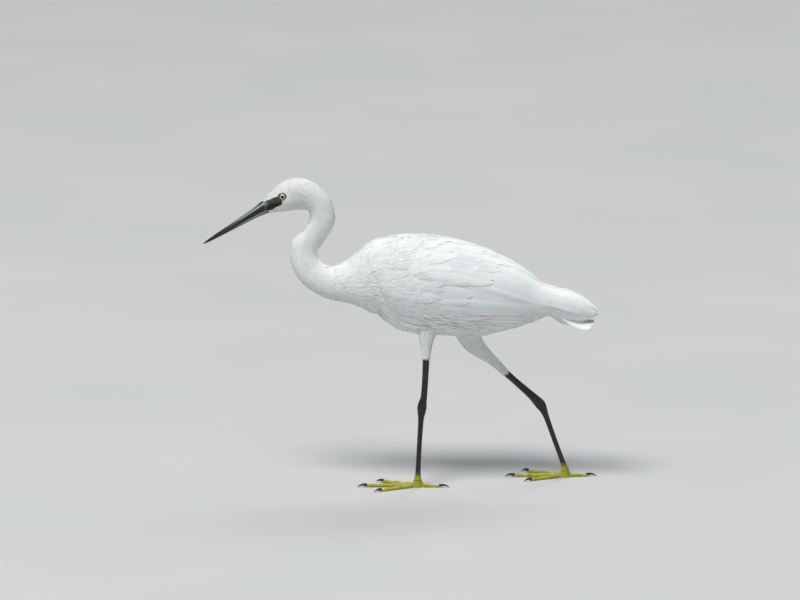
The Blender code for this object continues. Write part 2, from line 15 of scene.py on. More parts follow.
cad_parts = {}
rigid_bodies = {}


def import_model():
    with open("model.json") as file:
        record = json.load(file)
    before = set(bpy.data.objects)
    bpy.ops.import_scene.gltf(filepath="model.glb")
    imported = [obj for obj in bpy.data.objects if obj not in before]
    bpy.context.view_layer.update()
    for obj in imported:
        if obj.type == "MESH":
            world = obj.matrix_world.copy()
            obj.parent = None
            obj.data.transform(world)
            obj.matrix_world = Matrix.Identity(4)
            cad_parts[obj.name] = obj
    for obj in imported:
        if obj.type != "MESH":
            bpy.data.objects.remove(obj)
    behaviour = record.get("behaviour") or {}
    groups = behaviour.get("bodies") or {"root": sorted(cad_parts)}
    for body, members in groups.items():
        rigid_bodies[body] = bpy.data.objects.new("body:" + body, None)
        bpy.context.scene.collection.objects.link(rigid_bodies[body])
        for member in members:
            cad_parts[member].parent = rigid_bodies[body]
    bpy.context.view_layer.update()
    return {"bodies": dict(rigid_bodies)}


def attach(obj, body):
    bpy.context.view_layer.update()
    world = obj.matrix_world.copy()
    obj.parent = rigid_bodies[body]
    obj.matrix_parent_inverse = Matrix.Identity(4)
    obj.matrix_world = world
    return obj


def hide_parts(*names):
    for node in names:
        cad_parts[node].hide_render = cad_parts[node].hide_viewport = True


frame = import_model()

MM = 0.001
CARRIER = next(iter(frame["bodies"]))
SIDES = {"left": -1, "right": 1}
SEED = 5
GAP = 0.3

# The body's spine from the root of the bill to the tips of the folded wings:
# x, z, depth above it, depth below it, half width.
BODY = (
    (-171.0, 329.5, 6.4, 6.4, 5.0),
    (-160.7, 335.7, 8.3, 8.3, 6.8),
    (-150.4, 341.9, 13.0, 14.0, 10.4),
    (-139.7, 345.9, 18.3, 16.2, 13.0),
    (-120.2, 351.5, 19.4, 19.2, 13.6),
    (-100.0, 343.0, 15.4, 15.4, 11.8),
    (-93.7, 327.8, 14.6, 14.6, 10.8),
    (-94.0, 317.4, 14.7, 14.7, 10.6),
    (-103.5, 300.4, 14.0, 14.0, 10.4),
    (-116.0, 283.3, 16.8, 16.8, 11.5),
    (-108.9, 259.0, 16.8, 16.8, 12.8),
    (-86.9, 244.4, 19.3, 19.3, 16.0),
    (-60.7, 244.4, 27.0, 27.0, 22.5),
    (-42.8, 247.5, 36.5, 40.5, 30.0),
    (-25.0, 249.7, 48.5, 46.4, 35.5),
    (-1.2, 247.1, 52.0, 56.3, 39.5),
    (22.6, 242.6, 55.0, 60.2, 41.5),
    (58.3, 238.3, 52.8, 58.4, 41.0),
    (94.0, 232.3, 48.0, 54.0, 38.0),
    (117.8, 229.4, 40.5, 46.5, 34.0),
    (141.6, 225.6, 31.5, 37.0, 27.5),
    (159.5, 222.8, 21.5, 27.0, 21.5),
    (177.3, 221.7, 15.5, 18.0, 17.0),
    (200.0, 216.0, 16.0, 24.0, 16.5),
    (220.0, 210.0, 11.5, 18.0, 13.0),
    (238.0, 205.0, 4.0, 8.0, 8.0),
    (250.0, 201.0, 2.0, 4.0, 5.0),
)
BILL_STATION = 1
TRUNK_STATION = 11
SHOULDER_STATION = 12
RUMP_STATION = 22
SQUARENESS = 2.15

# Each leg from the body down: x, y, z, half depth, half width.
THIGHS = {
    "left": ((35, -19, 206, 15, 9.5), (32, -21, 192, 13.5, 9.5), (30.5, -23, 181, 9.0, 8.0),
             (30, -24, 170, 6.8, 6.2), (29.8, -24.5, 160.5, 5.4, 5.0)),
    "right": ((72, 18, 203, 19, 10), (77, 20, 188, 17.5, 10.5), (84.5, 21.5, 168.6, 13.3, 9.9),
              (94.3, 22.8, 156.9, 9.8, 8.4), (106.5, 23.9, 146.5, 6.7, 6.5),
              (115.5, 24.5, 138.3, 5.5, 5.3), (123, 25, 130.5, 4.8, 4.6)),
}
SHANKS = {
    "left": ((29.8, -24.5, 160.5, 4.3, 3.9), (29.2, -24.8, 140, 3.8, 3.4), (27.4, -25, 112, 3.8, 3.3),
             (25.8, -25, 103, 4.8, 4.3), (25, -25, 97.5, 5.6, 4.9)),
    "right": ((123, 25, 130.5, 4.1, 3.8), (138, 25.6, 116.8, 3.9, 3.4),
              (155, 26, 101.5, 4.6, 3.7), (163, 26, 93.6, 5.7, 4.6), (167, 26, 89, 6.1, 5.0)),
}
TARSI = {
    "left": ((25, -25, 97.5, 5.5, 4.8), (24.4, -25, 91, 4.8, 4.2), (23.6, -25, 80, 3.3, 2.9),
             (21.5, -25, 45, 2.9, 2.6), (20.3, -25, 18, 3.2, 3.2), (20, -25, 9, 4.6, 4.8)),
    "right": ((167, 26, 89, 6.0, 4.9), (170.5, 26, 83, 4.8, 4.2), (174.5, 26, 73, 3.3, 2.9),
              (185.5, 26, 42, 2.9, 2.6), (194.2, 26, 18, 3.2, 3.2), (197, 26, 9, 4.6, 4.8)),
}

BILL_LENGTH = 87.6
BILL_HALF_DEPTHS = ((0, 8.1), (0.15, 6.1), (0.31, 5.0), (0.47, 4.1), (0.63, 3.3), (0.79, 2.5),
                    (0.92, 1.5), (1, 0.5))
BILL_HALF_WIDTHS = ((0, 6.6), (0.15, 5.0), (0.31, 4.0), (0.47, 3.2), (0.63, 2.5), (0.79, 1.9),
                    (0.92, 1.3), (1, 0.5))
EYE_CENTRE = (-140.4, 8.9, 350.0)

WING_FRONT = -34.0
WING_FRONT_AT = 0.45
WING_FRONT_TOP = 36.0
WING_FRONT_LOW = 22.0
WING_LOW_ANGLES = ((-40, 122), (40, 122), (110, 116), (170, 120), (200, 120), (240, 118))


def catmull(rows, at):
    """A smooth curve through rows of numbers, read at a row number with a fraction."""
    last = len(rows) - 1
    first = min(max(int(at), 0), last - 1)
    part = at - first
    a, b, c, d = (np.array(rows[min(max(first + step, 0), last)], float) for step in (-1, 0, 1, 2))
    curve = 2 * b + (c - a) * part + (2 * a - 5 * b + 4 * c - d) * part ** 2
    return 0.5 * (curve + (3 * b - a - 3 * c + d) * part ** 3)


def make_track(rows, fine=24):
    """A limb's middle line with its directions and sizes, read at fine steps of its length.

    Rows hold x, y, z, depth on one side, depth on the other, and half width."""
    count = (len(rows) - 1) * fine + 1
    found = np.array([catmull(rows, step / fine) for step in range(count)])
    centre = found[:, :3]
    along = np.gradient(centre, axis=0)
    along /= np.linalg.norm(along, axis=1, keepdims=True)
    up = np.cross(along, (0, 1, 0))
    up /= np.linalg.norm(up, axis=1, keepdims=True)
    beside = np.cross(up, along)
    steps = np.linalg.norm(np.diff(centre, axis=0), axis=1)
    length = np.concatenate([[0], np.cumsum(steps)])
    return {"s": length, "values": np.hstack([centre, up, beside, found[:, 3:6]]), "fine": fine}


def leg_track(rows):
    return make_track([(x, y, z, deep, deep, wide) for x, y, z, deep, wide in rows])


def read_track(track, s, first, last):
    """Some of a track's columns at a length along it."""
    return [np.interp(s, track["s"], track["values"][:, part]) for part in range(first, last)]


def on_track(track, s, angle, lift):
    """Points round a limb: s along it, angle round it in degrees, lift over it. In metres."""
    s, angle, lift = np.broadcast_arrays(s, angle, lift)
    row = read_track(track, s, 0, 12)
    centre, up, beside = (np.stack(row[part:part + 3], -1) for part in (0, 3, 6))
    above, below, wide = row[9:12]
    across = np.sin(np.radians(angle))
    upward = np.cos(np.radians(angle))
    deep = np.where(upward > 0, above, below)
    out_across = across / wide
    out_up = upward / deep
    size = np.hypot(out_across, out_up)
    power = 2 / SQUARENESS
    y = np.sign(across) * np.abs(across) ** power * wide + out_across / size * lift
    z = np.sign(upward) * np.abs(upward) ** power * deep + out_up / size * lift
    return (centre + up * z[..., None] + beside * y[..., None]) * MM


BODY_TRACK = make_track([(x, 0, z, above, below, wide) for x, z, above, below, wide in BODY])


def body_s(station):
    return float(BODY_TRACK["s"][round(station * BODY_TRACK["fine"])])


BILL_S = body_s(BILL_STATION)
TRUNK_FROM = round(TRUNK_STATION * BODY_TRACK["fine"])


def s_at(x):
    """The length along the spine at x, in the trunk, where x only grows."""
    return np.interp(x, BODY_TRACK["values"][TRUNK_FROM:, 0], BODY_TRACK["s"][TRUNK_FROM:])


def steps_value(points, place):
    """The value at a place on a broken line of (place, value) points."""
    return np.interp(place, *zip(*points))


def by_station(points, s):
    """The value at s on a broken line of (station, value) points."""
    return steps_value([(body_s(station), value) for station, value in points], s)


def between(pair, share):
    return pair[0] + (pair[1] - pair[0]) * share


def rise_between(values, start, end):
    """Nought before start, one after end and a soft step between."""
    share = np.clip((values - start) / (end - start), 0, 1)
    return share * share * (3 - 2 * share)


def even_out(values, passes):
    """Evens a table of numbers along its rows."""
    for _ in range(passes):
        inner = (values[:-2] + 2 * values[1:-1] + values[2:]) / 4
        values = np.concatenate([values[:1], inner, values[-1:]])
    return values


SURFACE_STEP = 0.75
ANGLE_STEP = 3
SURFACE_PASSES = 10
# Stretches on the inside of the neck's bends, where the surface is evened out more:
# stations from and to, and whether it is the throat side.
BENDS = ((3.0, 7.4, True), (8.2, 13.4, False))
BEND_PASSES = 150
BEND_SIDES = (60, 110)
BEND_FADE = 9


def make_surface():
    """The body's surface as a table of points and outward directions over s and angle."""
    s = np.arange(0, BODY_TRACK["s"][-1], SURFACE_STEP)[:, None]
    angle = np.arange(-180, 181, ANGLE_STEP)[None]
    points = even_out(on_track(BODY_TRACK, s, angle, 0) / MM, SURFACE_PASSES)
    soft = even_out(points, BEND_PASSES)
    weight = np.zeros(points.shape[:2])
    for start, end, throat in BENDS:
        inside = rise_between(np.abs(angle), *BEND_SIDES)
        inside = inside if throat else 1 - inside
        window = rise_between(s, body_s(start), body_s(start) + BEND_FADE)
        weight += inside * window * (1 - rise_between(s, body_s(end) - BEND_FADE, body_s(end)))
    points += (soft - points) * weight[..., None]
    along = even_out(np.gradient(points, axis=0), 6)
    around = np.roll(points[:, :-1], -1, 1) - np.roll(points[:, :-1], 1, 1)
    around = np.concatenate([around, around[:, :1]], 1)
    out = np.cross(around, along)
    out /= np.linalg.norm(out, axis=-1, keepdims=True)
    middle = points.mean(1, keepdims=True)
    out *= np.sign(((points - middle) * out).sum(-1).mean())
    return np.concatenate([points, even_out(out, 4)], -1) * MM


SURFACE = make_surface()


def body_place(s, angle, lift):
    """Points on the body: s along the spine, angle from the back, + to the right, and lift."""
    s, angle, lift = np.broadcast_arrays(s, angle, lift)
    row = np.clip(s / SURFACE_STEP, 0, len(SURFACE) - 1.001)
    column = np.mod(angle + 180, 360) / ANGLE_STEP
    row_from, column_from = row.astype(int), column.astype(int)
    down = (row - row_from)[..., None]
    over = (column - column_from)[..., None]
    first, second = (SURFACE[at, column_from] * (1 - over) + SURFACE[at, column_from + 1] * over
                     for at in (row_from, row_from + 1))
    both = first * (1 - down) + second * down
    return both[..., :3] + both[..., 3:] * lift[..., None]


def wing_place(side):
    """The map over one folded wing: x along, share from the ridge of the back down, lift."""
    def place(x, share, lift):
        angle = side * share * steps_value(WING_LOW_ANGLES, x)
        point = body_place(s_at(x), angle, lift)
        point[..., 1] += side * GAP / 2 * MM
        return point
    return place


def bill_frame():
    """The middle of the bill's root, the way the bill points, and its upward direction."""
    row = BODY_TRACK["values"][BILL_STATION * BODY_TRACK["fine"]]
    upward = Vector(row[3:6])
    return Vector(row[:3]) * MM, Vector((-upward.z, 0, upward.x)), upward


# Colours and materials


def linear(hex_colour):
    """An sRGB hex colour as linear light."""
    parts = [int(hex_colour[start:start + 2], 16) / 255 for start in (1, 3, 5)]
    light = [part / 12.92 if part <= 0.04045 else ((part + 0.055) / 1.055) ** 2.4 for part in parts]
    return (*light, 1)


class Shader:
    """A new material with its Principled shader's constants set, and the nodes it may have."""

    def __init__(self, name, **constants):
        self.material = bpy.data.materials.new(name)
        self.material.use_nodes = True
        self.tree = self.material.node_tree
        self.ends = self.tree.nodes["Principled BSDF"].inputs
        for socket, value in constants.items():
            self.ends[socket.replace("_", " ")].default_value = value
        self.place = self.node("TexCoord").outputs["Object"]

    def node(self, kind, inputs=(), **settings):
        """Adds a node, sets its properties, and fills its sockets with values or links."""
        made = self.tree.nodes.new("ShaderNode" + kind)
        for name, value in settings.items():
            setattr(made, name, value)
        for socket, value in dict(inputs).items():
            if isinstance(value, bpy.types.NodeSocket):
                self.tree.links.new(value, made.inputs[socket])
            else:
                made.inputs[socket].default_value = value
        return made

    def math(self, operation, *values, clamp=False):
        return self.node("Math", enumerate(values), operation=operation, use_clamp=clamp).outputs[0]

    def vector(self, operation, *values):
        """Vector arithmetic, which gives a number where the operation measures something."""
        output = "Value" if operation in ("DISTANCE", "DOT_PRODUCT", "LENGTH") else "Vector"
        return self.node("VectorMath", enumerate(values), operation=operation).outputs[output]

    def noise(self, scale, detail, place=None):
        place = self.place if place is None else place
        return self.node("TexNoise", {"Vector": place, "Scale": scale, "Detail": detail}).outputs

    def rise(self, value, start, end):
        """Nought at the start and one at the end, in a straight line."""
        return self.node("MapRange", {"Value": value, "From Min": start, "From Max": end}).outputs[0]

    def fall(self, value, start, end, kind="SMOOTHSTEP"):
        """One at the start and nought at the end."""
        return self.node("MapRange", {"Value": value, "From Min": start, "From Max": end, "To Min": 1.0,
                                      "To Max": 0.0}, interpolation_type=kind).outputs[0]

    def ramp(self, factor, *stops):
        """A colour ramp with (place, hex colour) stops."""
        made = self.node("ValToRGB", {"Fac": factor})
        entries = made.color_ramp.elements
        while len(entries) < len(stops):
            entries.new(0.5)
        for entry, (place, colour) in zip(entries, stops):
            entry.position = place
            entry.color = linear(colour)
        return made.outputs["Color"]

    def mix(self, factor, first, second):
        """Mixes two colours, each a socket or a linear colour."""
        return self.node("Mix", {"Factor": factor, 6: first, 7: second}, data_type="RGBA").outputs[2]

    def paint(self, colour):
        self.tree.links.new(colour, self.ends["Base Color"])

    def emboss(self, height, strength, depth):
        bump = self.node("Bump", {"Height": height, "Strength": strength, "Distance": depth * MM})
        self.tree.links.new(bump.outputs["Normal"], self.ends["Normal"])


def feather_material(name, shade, tone, barb_spacing, barb_depth):
    """White feather: matt keratin barbs that lie slanting off a fine shaft.

    Each vane is a touch lighter or darker, with soft clouds over all of them, and the barbs
    show as faint slanting lines, drawn coarser than the real 0.2 mm so that they show."""
    shader = Shader(name, Roughness=0.72, Sheen_Weight=0.25, Sheen_Roughness=0.5, IOR=1.54,
                    Subsurface_Weight=0.12, Subsurface_Scale=0.004)
    vane = shader.node("Attribute", attribute_name="vane").outputs["Vector"]
    aside, out, tint = shader.node("SeparateXYZ", {"Vector": vane}).outputs
    slant = shader.math("MULTIPLY_ADD", shader.math("ABSOLUTE", aside), -1.2, out)
    barbs = shader.math("SINE", shader.math("MULTIPLY", slant, 2 * math.pi / barb_spacing))
    mixed = shader.math("MULTIPLY_ADD", tint, 0.5, shader.noise(26.0, 3.0)["Fac"])
    shader.paint(shader.ramp(mixed, (0.35, shade), (0.95, tone)))
    shader.emboss(barbs, 0.5, barb_depth)
    return shader.material


def skin_material():
    """Plumage seen between the vanes: the woolly white bases of the feathers over pale skin."""
    shader = Shader("feather_bases", Roughness=0.9, IOR=1.5, Sheen_Weight=0.3)
    wool = shader.noise(700.0, 4.0)["Fac"]
    shader.paint(shader.ramp(wool, (0.3, "#e4e5e6"), (0.7, "#f2f2f1")))
    shader.emboss(wool, 0.3, 0.25)
    return shader.material


def along_bill(shader, place):
    """How far out along the bill a point lies, and how high over its middle line, in metres."""
    centre, forward, upward = bill_frame()
    moved = shader.vector("SUBTRACT", place, centre)
    return [shader.vector("DOT_PRODUCT", moved, direction) for direction in (forward, upward)]


def reflection_spot(shader, place, behind, over, reach):
    """How near a point lies to the painted sky reflection beside the bill's root: one at its middle, nought
    outside.

    The spot is given as its distance behind the bill's root and its height over the bill."""
    centre, forward, upward = bill_frame()
    middle = centre - forward * behind * MM + upward * over * MM
    flat = shader.vector("MULTIPLY", place, (1, 0, 1))
    far = shader.vector("DISTANCE", flat, (middle.x, 0, middle.z))
    return shader.fall(far, reach * 0.3 * MM, reach * MM)


# How much the mouth line sinks under the bill's middle line for each step behind its root.
GAPE_SLOPE = 0.245


def lore_material():
    """Bare facial skin: thin leathery skin, slaty black, brownish grey before the eye, and a
    painted bluish-grey highlight where it meets the bill, the sky reflected there."""
    shader = Shader("bare_face_skin", Roughness=0.58, IOR=1.4)
    patch = shader.noise(260.0, 5.0)
    grain = shader.node("TexVoronoi", {"Vector": shader.place, "Scale": 1500.0})
    dark = shader.ramp(patch["Fac"], (0.35, "#0c0c0e"), (0.6, "#151619"), (0.85, "#26292c"))
    grey = shader.ramp(patch["Fac"], (0.3, "#2c2c2b"), (0.55, "#4b4a45"), (0.8, "#6d6c66"))
    wave = shader.vector("SUBTRACT", patch["Color"], (0.5, 0.5, 0.5))
    wavy = shader.vector("MULTIPLY_ADD", wave, (0.012, 0.012, 0.012), shader.place)
    reach, height = along_bill(shader, wavy)
    over_gape = shader.math("MULTIPLY_ADD", reach, -GAPE_SLOPE, height)
    brown = shader.mix(shader.rise(over_gape, 1.2 * MM, 4.2 * MM), dark, grey)
    # A painted highlight: the bluish-grey reflection of the sky on the skin at the bill's root.
    shader.paint(shader.mix(reflection_spot(shader, wavy, 0.5, 4.6, 6.5), brown, linear("#858f98")))
    shader.emboss(grain.outputs["Distance"], 0.5, 0.15)
    return shader.material


def bill_material(name, pale, horn_and_sheen_band):
    """Horn of the bill: hard smooth keratin with fine lines along it and a dull polish.

    A pale band starts at its root and fades towards its tip. On the lower half it is the horn's own
    pale stripe. On the upper half it is a painted highlight, a bluish reflection along the culmen."""
    shader = Shader(name, Roughness=0.32, IOR=1.55, Coat_Weight=0.25, Coat_Roughness=0.2)
    reach, height = along_bill(shader, shader.place)
    streaks = shader.node("CombineXYZ", {"X": reach, "Y": height}).outputs[0]
    drawn_out = shader.node("Mapping", {"Vector": streaks, "Scale": (60, 1400, 1)}).outputs[0]
    lines = shader.noise(1.0, 4.0, drawn_out)["Fac"]
    # The pale band: a painted bluish highlight on the upper half, the horn's own pale colour on the lower
    # half.
    line = shader.math("MULTIPLY_ADD", reach, horn_and_sheen_band["slope"], horn_and_sheen_band["height"] * MM)
    far = shader.math("ABSOLUTE", shader.math("SUBTRACT", height, line))
    share = shader.math("MULTIPLY", shader.fall(reach, horn_and_sheen_band["from"] * MM, horn_and_sheen_band["to"] * MM),
                        shader.fall(far, 0.0, horn_and_sheen_band["width"] * MM))
    share = shader.math("MULTIPLY", share, shader.math("MULTIPLY", lines, 1.5), clamp=True)
    dark = shader.ramp(lines, (0.3, "#0a0a0c"), (0.75, "#1a1b1e"))
    shader.paint(shader.mix(share, dark, linear(pale)))
    shader.emboss(lines, 0.35, 0.12)
    return shader.material


PUPIL_RADIUS = 1.8
EYE_RIM_RADIUS = 5.0


def eye_material():
    """A wet eye: black pupil, pale yellow iris with fine rays, a dark rim and a clear gloss."""
    shader = Shader("wet_eye", Roughness=0.15, IOR=1.38, Coat_Weight=1.0, Coat_Roughness=0.02)
    x, _, z = (value * MM for value in EYE_CENTRE)
    flat = shader.vector("MULTIPLY", shader.place, (1, 0, 1))
    moved = shader.vector("SUBTRACT", flat, (x, 0, z))
    share = shader.math("DIVIDE", shader.vector("LENGTH", moved), EYE_RIM_RADIUS * MM)
    wobble = shader.math("MULTIPLY_ADD", shader.noise(1500.0, 4.0, moved)["Fac"], 0.06, share)
    pupil = PUPIL_RADIUS / EYE_RIM_RADIUS
    shader.paint(shader.ramp(wobble, (pupil + 0.015, "#040404"), (pupil + 0.05, "#7d7844"), (0.47, "#bdb98b"),
                             (0.62, "#c6c29b"), (0.69, "#6f6b47"), (0.73, "#0c0c0c")))
    return shader.material


def scale_material(name, dark, light, gloss, low_colour=None):
    """Horny scales of a wader's leg: small plates with a dull sheen and sunk joints.

    The low colour, where there is one, takes over just above the foot."""
    shader = Shader(name, Roughness=gloss, IOR=1.5)
    plates = shader.node("TexVoronoi", {"Vector": shader.place, "Scale": 620.0}, feature="DISTANCE_TO_EDGE")
    patch = shader.noise(150.0, 4.0)["Fac"]
    colour = shader.ramp(patch, (0.35, dark), (0.75, light))
    if low_colour:
        height = shader.node("SeparateXYZ", {"Vector": shader.place}).outputs["Z"]
        wander = shader.math("MULTIPLY_ADD", patch, 12 * MM, height)
        low = shader.fall(wander, 17 * MM, 26 * MM, "LINEAR")
        colour = shader.mix(low, colour, linear(low_colour))
    shader.paint(colour)
    shader.emboss(shader.rise(plates.outputs["Distance"], 0.0, 0.12), 0.6, 0.2)
    return shader.material


def claw_material():
    """Claw horn: dark smooth keratin, mottled brown."""
    shader = Shader("claw_horn", Roughness=0.3, IOR=1.55)
    shader.paint(shader.ramp(shader.noise(500.0, 3.0)["Fac"], (0.3, "#14120f"), (0.8, "#3a342c")))
    return shader.material


def paper_material():
    """Studio paper: a matt pale grey with the faintest clouds."""
    shader = Shader("studio_paper", Roughness=0.85)
    shader.paint(shader.ramp(shader.noise(3.0, 2.0)["Fac"], (0.3, "#bcbebf"), (0.7, "#c1c2c2")))
    return shader.material


# Making meshes


def add_object(name, data):
    made = bpy.data.objects.new(name, data)
    bpy.context.scene.collection.objects.link(made)
    return made


def finish(name, made, material, slot, *replaced):
    """A mesh, or a list of shapes, becomes a piece that rides with the bird."""
    mesh = to_mesh(name, made) if isinstance(made, list) else made
    mesh.materials.append(material)
    piece = add_object(name, mesh)
    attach(piece, CARRIER)
    if replaced:
        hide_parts(*replaced)


def new_grid(rows, columns):
    """A flat grid, and its points as shares from 0 to 1 along and across it."""
    shape = bmesh.new()
    bmesh.ops.create_grid(shape, x_segments=rows, y_segments=columns, size=0.5)
    flat = np.array([vert.co[:2] for vert in shape.verts]) + 0.5
    return shape, flat[:, 0], flat[:, 1]


def wrap(rows, columns, place):
    """A closed form wrapped from a grid: place(along, around) for both from 0 to 1."""
    shape, along, around = new_grid(rows, columns)
    for vert, point in zip(shape.verts, place(along, around)):
        vert.co = point
    bmesh.ops.remove_doubles(shape, verts=shape.verts[:], dist=1e-7)
    bmesh.ops.holes_fill(shape, edges=[edge for edge in shape.edges if edge.is_boundary])
    bmesh.ops.recalc_face_normals(shape, faces=shape.faces[:])
    return shape


def to_mesh(name, shapes):
    """One mesh from one or more shapes, shaded smooth."""
    mesh = bpy.data.meshes.new(name)
    whole = bmesh.new()
    for shape in shapes:
        part = bpy.data.meshes.new("part")
        shape.to_mesh(part)
        shape.free()
        whole.from_mesh(part)
        bpy.data.meshes.remove(part)
    whole.to_mesh(mesh)
    whole.free()
    mesh.shade_smooth()
    return mesh


def as_arrays(shape):
    """A shape's points and its faces, cut into triangles, as arrays. It frees the shape."""
    points = np.array([vert.co for vert in shape.verts])
    bmesh.ops.triangulate(shape, faces=shape.faces[:])
    faces = np.array([[vert.index for vert in face.verts] for face in shape.faces])
    shape.free()
    return points, faces


def vane_template(columns, rows):
    """A flat blade, split alike on both faces, as (across, along, depth) points and faces."""
    shape = bmesh.new()
    bmesh.ops.create_grid(shape, x_segments=columns, y_segments=rows, size=1)
    bmesh.ops.triangulate(shape, faces=shape.faces[:])
    bmesh.ops.solidify(shape, geom=shape.faces[:], thickness=1)
    bmesh.ops.recalc_face_normals(shape, faces=shape.faces[:])
    points, faces = as_arrays(shape)
    points[:, 1] = (points[:, 1] + 1) / 2
    points[:, 2] = points[:, 2].max() - points[:, 2]
    return points, faces


def tuft_template(rows):
    """A slim three-sided blade, its keel upwards, as (across, along, depth) points and faces."""
    shape = bmesh.new()
    bmesh.ops.create_cone(shape, cap_ends=True, segments=3, radius1=1, radius2=1, depth=1)
    for cut in range(1, rows):
        bmesh.ops.bisect_plane(shape, geom=shape.verts[:] + shape.edges[:] + shape.faces[:],
                               plane_co=(0, 0, cut / rows - 0.5), plane_no=(0, 0, 1))
    bmesh.ops.triangulate(shape, faces=shape.faces[:])
    bmesh.ops.recalc_face_normals(shape, faces=shape.faces[:])
    points, faces = as_arrays(shape)
    across = points[:, 0] / np.abs(points[:, 0]).max()
    depth = (points[:, 1].max() - points[:, 1]) / np.ptp(points[:, 1])
    return np.stack([across, points[:, 2] + 0.5, depth], -1), faces


SHARP_EDGE = 50


def join_copies(name, points, faces, patches, vane_values):
    """Many copies of a template as one mesh, each with its patch of the OFBake map."""
    copies, corners = points.shape[:2]
    all_faces = (faces[None] + (np.arange(copies) * corners)[:, None, None]).reshape(-1, 3)
    mesh = bpy.data.meshes.new(name)
    mesh.vertices.add(copies * corners)
    mesh.vertices.foreach_set("co", points.reshape(-1))
    mesh.loops.add(all_faces.size)
    mesh.loops.foreach_set("vertex_index", all_faces.reshape(-1).astype(np.int32))
    mesh.polygons.add(len(all_faces))
    mesh.polygons.foreach_set("loop_start", np.arange(0, all_faces.size, 3, dtype=np.int32))
    mesh.update(calc_edges=True)
    uv = mesh.uv_layers.new(name="OFBake")
    uv.data.foreach_set("uv", patches.reshape(-1, 2)[all_faces.reshape(-1)].reshape(-1))
    values = mesh.attributes.new("vane", "FLOAT_VECTOR", "POINT")
    values.data.foreach_set("vector", vane_values.reshape(-1))
    mesh.validate()
    mesh.shade_smooth()
    mesh.set_sharp_from_angle(angle=math.radians(SHARP_EDGE))
    return mesh


# Half width of a vane along its length: long quills are blunt, small feathers taper.
QUILL = ((0, 0.5), (0.1, 0.8), (0.4, 1.0), (0.9, 1.0), (0.95, 0.88), (0.98, 0.62), (1, 0.16))
ROUND = ((0, 0.35), (0.2, 0.75), (0.5, 1.0), (0.72, 0.94), (0.88, 0.7), (0.96, 0.42), (1, 0.1))
POINTED = ((0, 0.6), (0.3, 1.0), (0.6, 0.85), (0.85, 0.45), (1, 0.06))
VANE_SIZES = ("a", "b", "length", "half", "yaw", "low", "high", "curl", "step", "thick")
PATCH = 0.0015
CAMBER = 0.035
STEP_LIMIT = 0.6
QUILL_TIP = {"fineness": 1.6, "curl": 20}
SOFT_CURL = 5

# Where vanes are laid: a map place(a, b, lift), the stretch of a and of b that the unwrap
# shows, a small step of b, which way b turns, and the limits that b is kept in.
Ground = namedtuple("Ground", "place a b small turn limits", defaults=((-190.0, 190.0), 2.0, -1, None))
BODY_GROUND = Ground(body_place, (BILL_S, body_s(RUMP_STATION) + 10))


def lay_vanes(name, ground, blade, draw, material, quills=False, **roots):
    """Lays a vane at each root on the ground and makes them one piece.

    The blade is a template and an outline. The roots are numbers or arrays: a, b, length,
    half (width), yaw, low and high (lift at root and tip), curl (extra lift at the very
    tip), step (lift for each unit of b, so that each lies over the next) and thick. What is
    left out is nought. Quills keep their width all along, are measured along a itself and
    have finer tips."""
    (shape, faces), outline = blade
    across, along, depth = (shape[:, part][None] for part in range(3))
    if quills:
        along = 1 - (1 - along) ** QUILL_TIP["fineness"]
    count = len(roots["a"])
    a0, b0, length, half, yaw, low, high, curl, step, thick = (
        np.broadcast_to(np.asarray(roots.get(key, 0), float), count)[:, None] for key in VANE_SIZES)
    outline = steps_value(outline, along)
    out = along * length
    aside = across * outline * half
    yaw = np.radians(yaw)
    forward = out * np.cos(yaw) - aside * np.sin(yaw)
    sideways = out * np.sin(yaw) + aside * np.cos(yaw)

    def unit(a, step_a, step_b):
        """How many millimetres there are to a unit of a or b."""
        apart = ground.place(a + step_a, b0 + step_b, 0.0) - ground.place(a - step_a, b0 - step_b, 0.0)
        return np.linalg.norm(apart, axis=-1) / (2 * (step_a + step_b)) / MM

    a = a0 + forward / (1.0 if quills else np.maximum(unit(a0, 0.5, 0), 0.25))
    b = b0 + ground.turn * sideways / np.maximum(unit(a if quills else a0, 0, ground.small), 1e-3)
    if ground.limits:
        b = np.clip(b, *ground.limits)
    rise = low + (high - low) * along ** 0.7
    rise = rise + curl * along ** (QUILL_TIP["curl"] if quills else SOFT_CURL)
    rise = rise - CAMBER * half * across ** 2 * outline
    rise = rise + np.clip(step * (b - b0), -STEP_LIMIT, STEP_LIMIT)
    thin = thick * (1 - 0.75 * along) * (1 - 0.5 * np.abs(across))
    points = ground.place(a, b, rise - depth * thin)
    patch_a = (a0 - ground.a[0]) / (ground.a[1] - ground.a[0]) + across * PATCH
    patch_b = (b0 - ground.b[0]) / (ground.b[1] - ground.b[0]) + (along - 0.5) * 2 * PATCH
    patches = np.stack(np.broadcast_arrays(patch_a, patch_b), -1)
    vane = np.stack(np.broadcast_arrays(aside, out, draw.random(count)[:, None]), -1)
    finish(name, join_copies(name, points, faces, patches, vane), material, "plumage")


# Loose plumes, by how many there are and the ranges that their sizes are drawn from. The
# yaw is its middle and its spread, and the other pairs are the least and the most.
PLUMES = {
    "mantle": {"count": 900, "length": (17, 25), "half": (1.4, 2.2), "yaw": (0, 3), "low": -0.9,
               "high": (0.3, 0.8), "curl": (-0.3, 0), "thick": 0.35},
    "uppertail_coverts": {"count": 260, "length": (13, 19), "half": (1.6, 2.4), "yaw": (0, 4), "low": -0.4,
                          "high": (0.4, 1.2), "thick": 0.35},
    "undertail_coverts": {"count": 420, "length": (22, 36), "half": (1.2, 1.9), "yaw": (0, 3),
                          "low": -3.0, "high": (-2.5, 0.2), "curl": (-0.4, 0.4), "thick": 0.4},
    "flank_plumes": {"count": 170, "length": (34, 54), "half": (1.2, 2.2), "yaw": (-3, 3), "low": -1.0,
                     "high": (0.9, 2.4), "curl": (-0.8, 0.3), "thick": 0.35},
    "thigh_root_plumes": {"count": 120, "length": (20, 30), "half": (1.4, 2.2), "yaw": (0, 5),
                          "low": -0.8, "high": (0.4, 3.4), "curl": (-0.4, 0.2), "thick": 0.35},
}


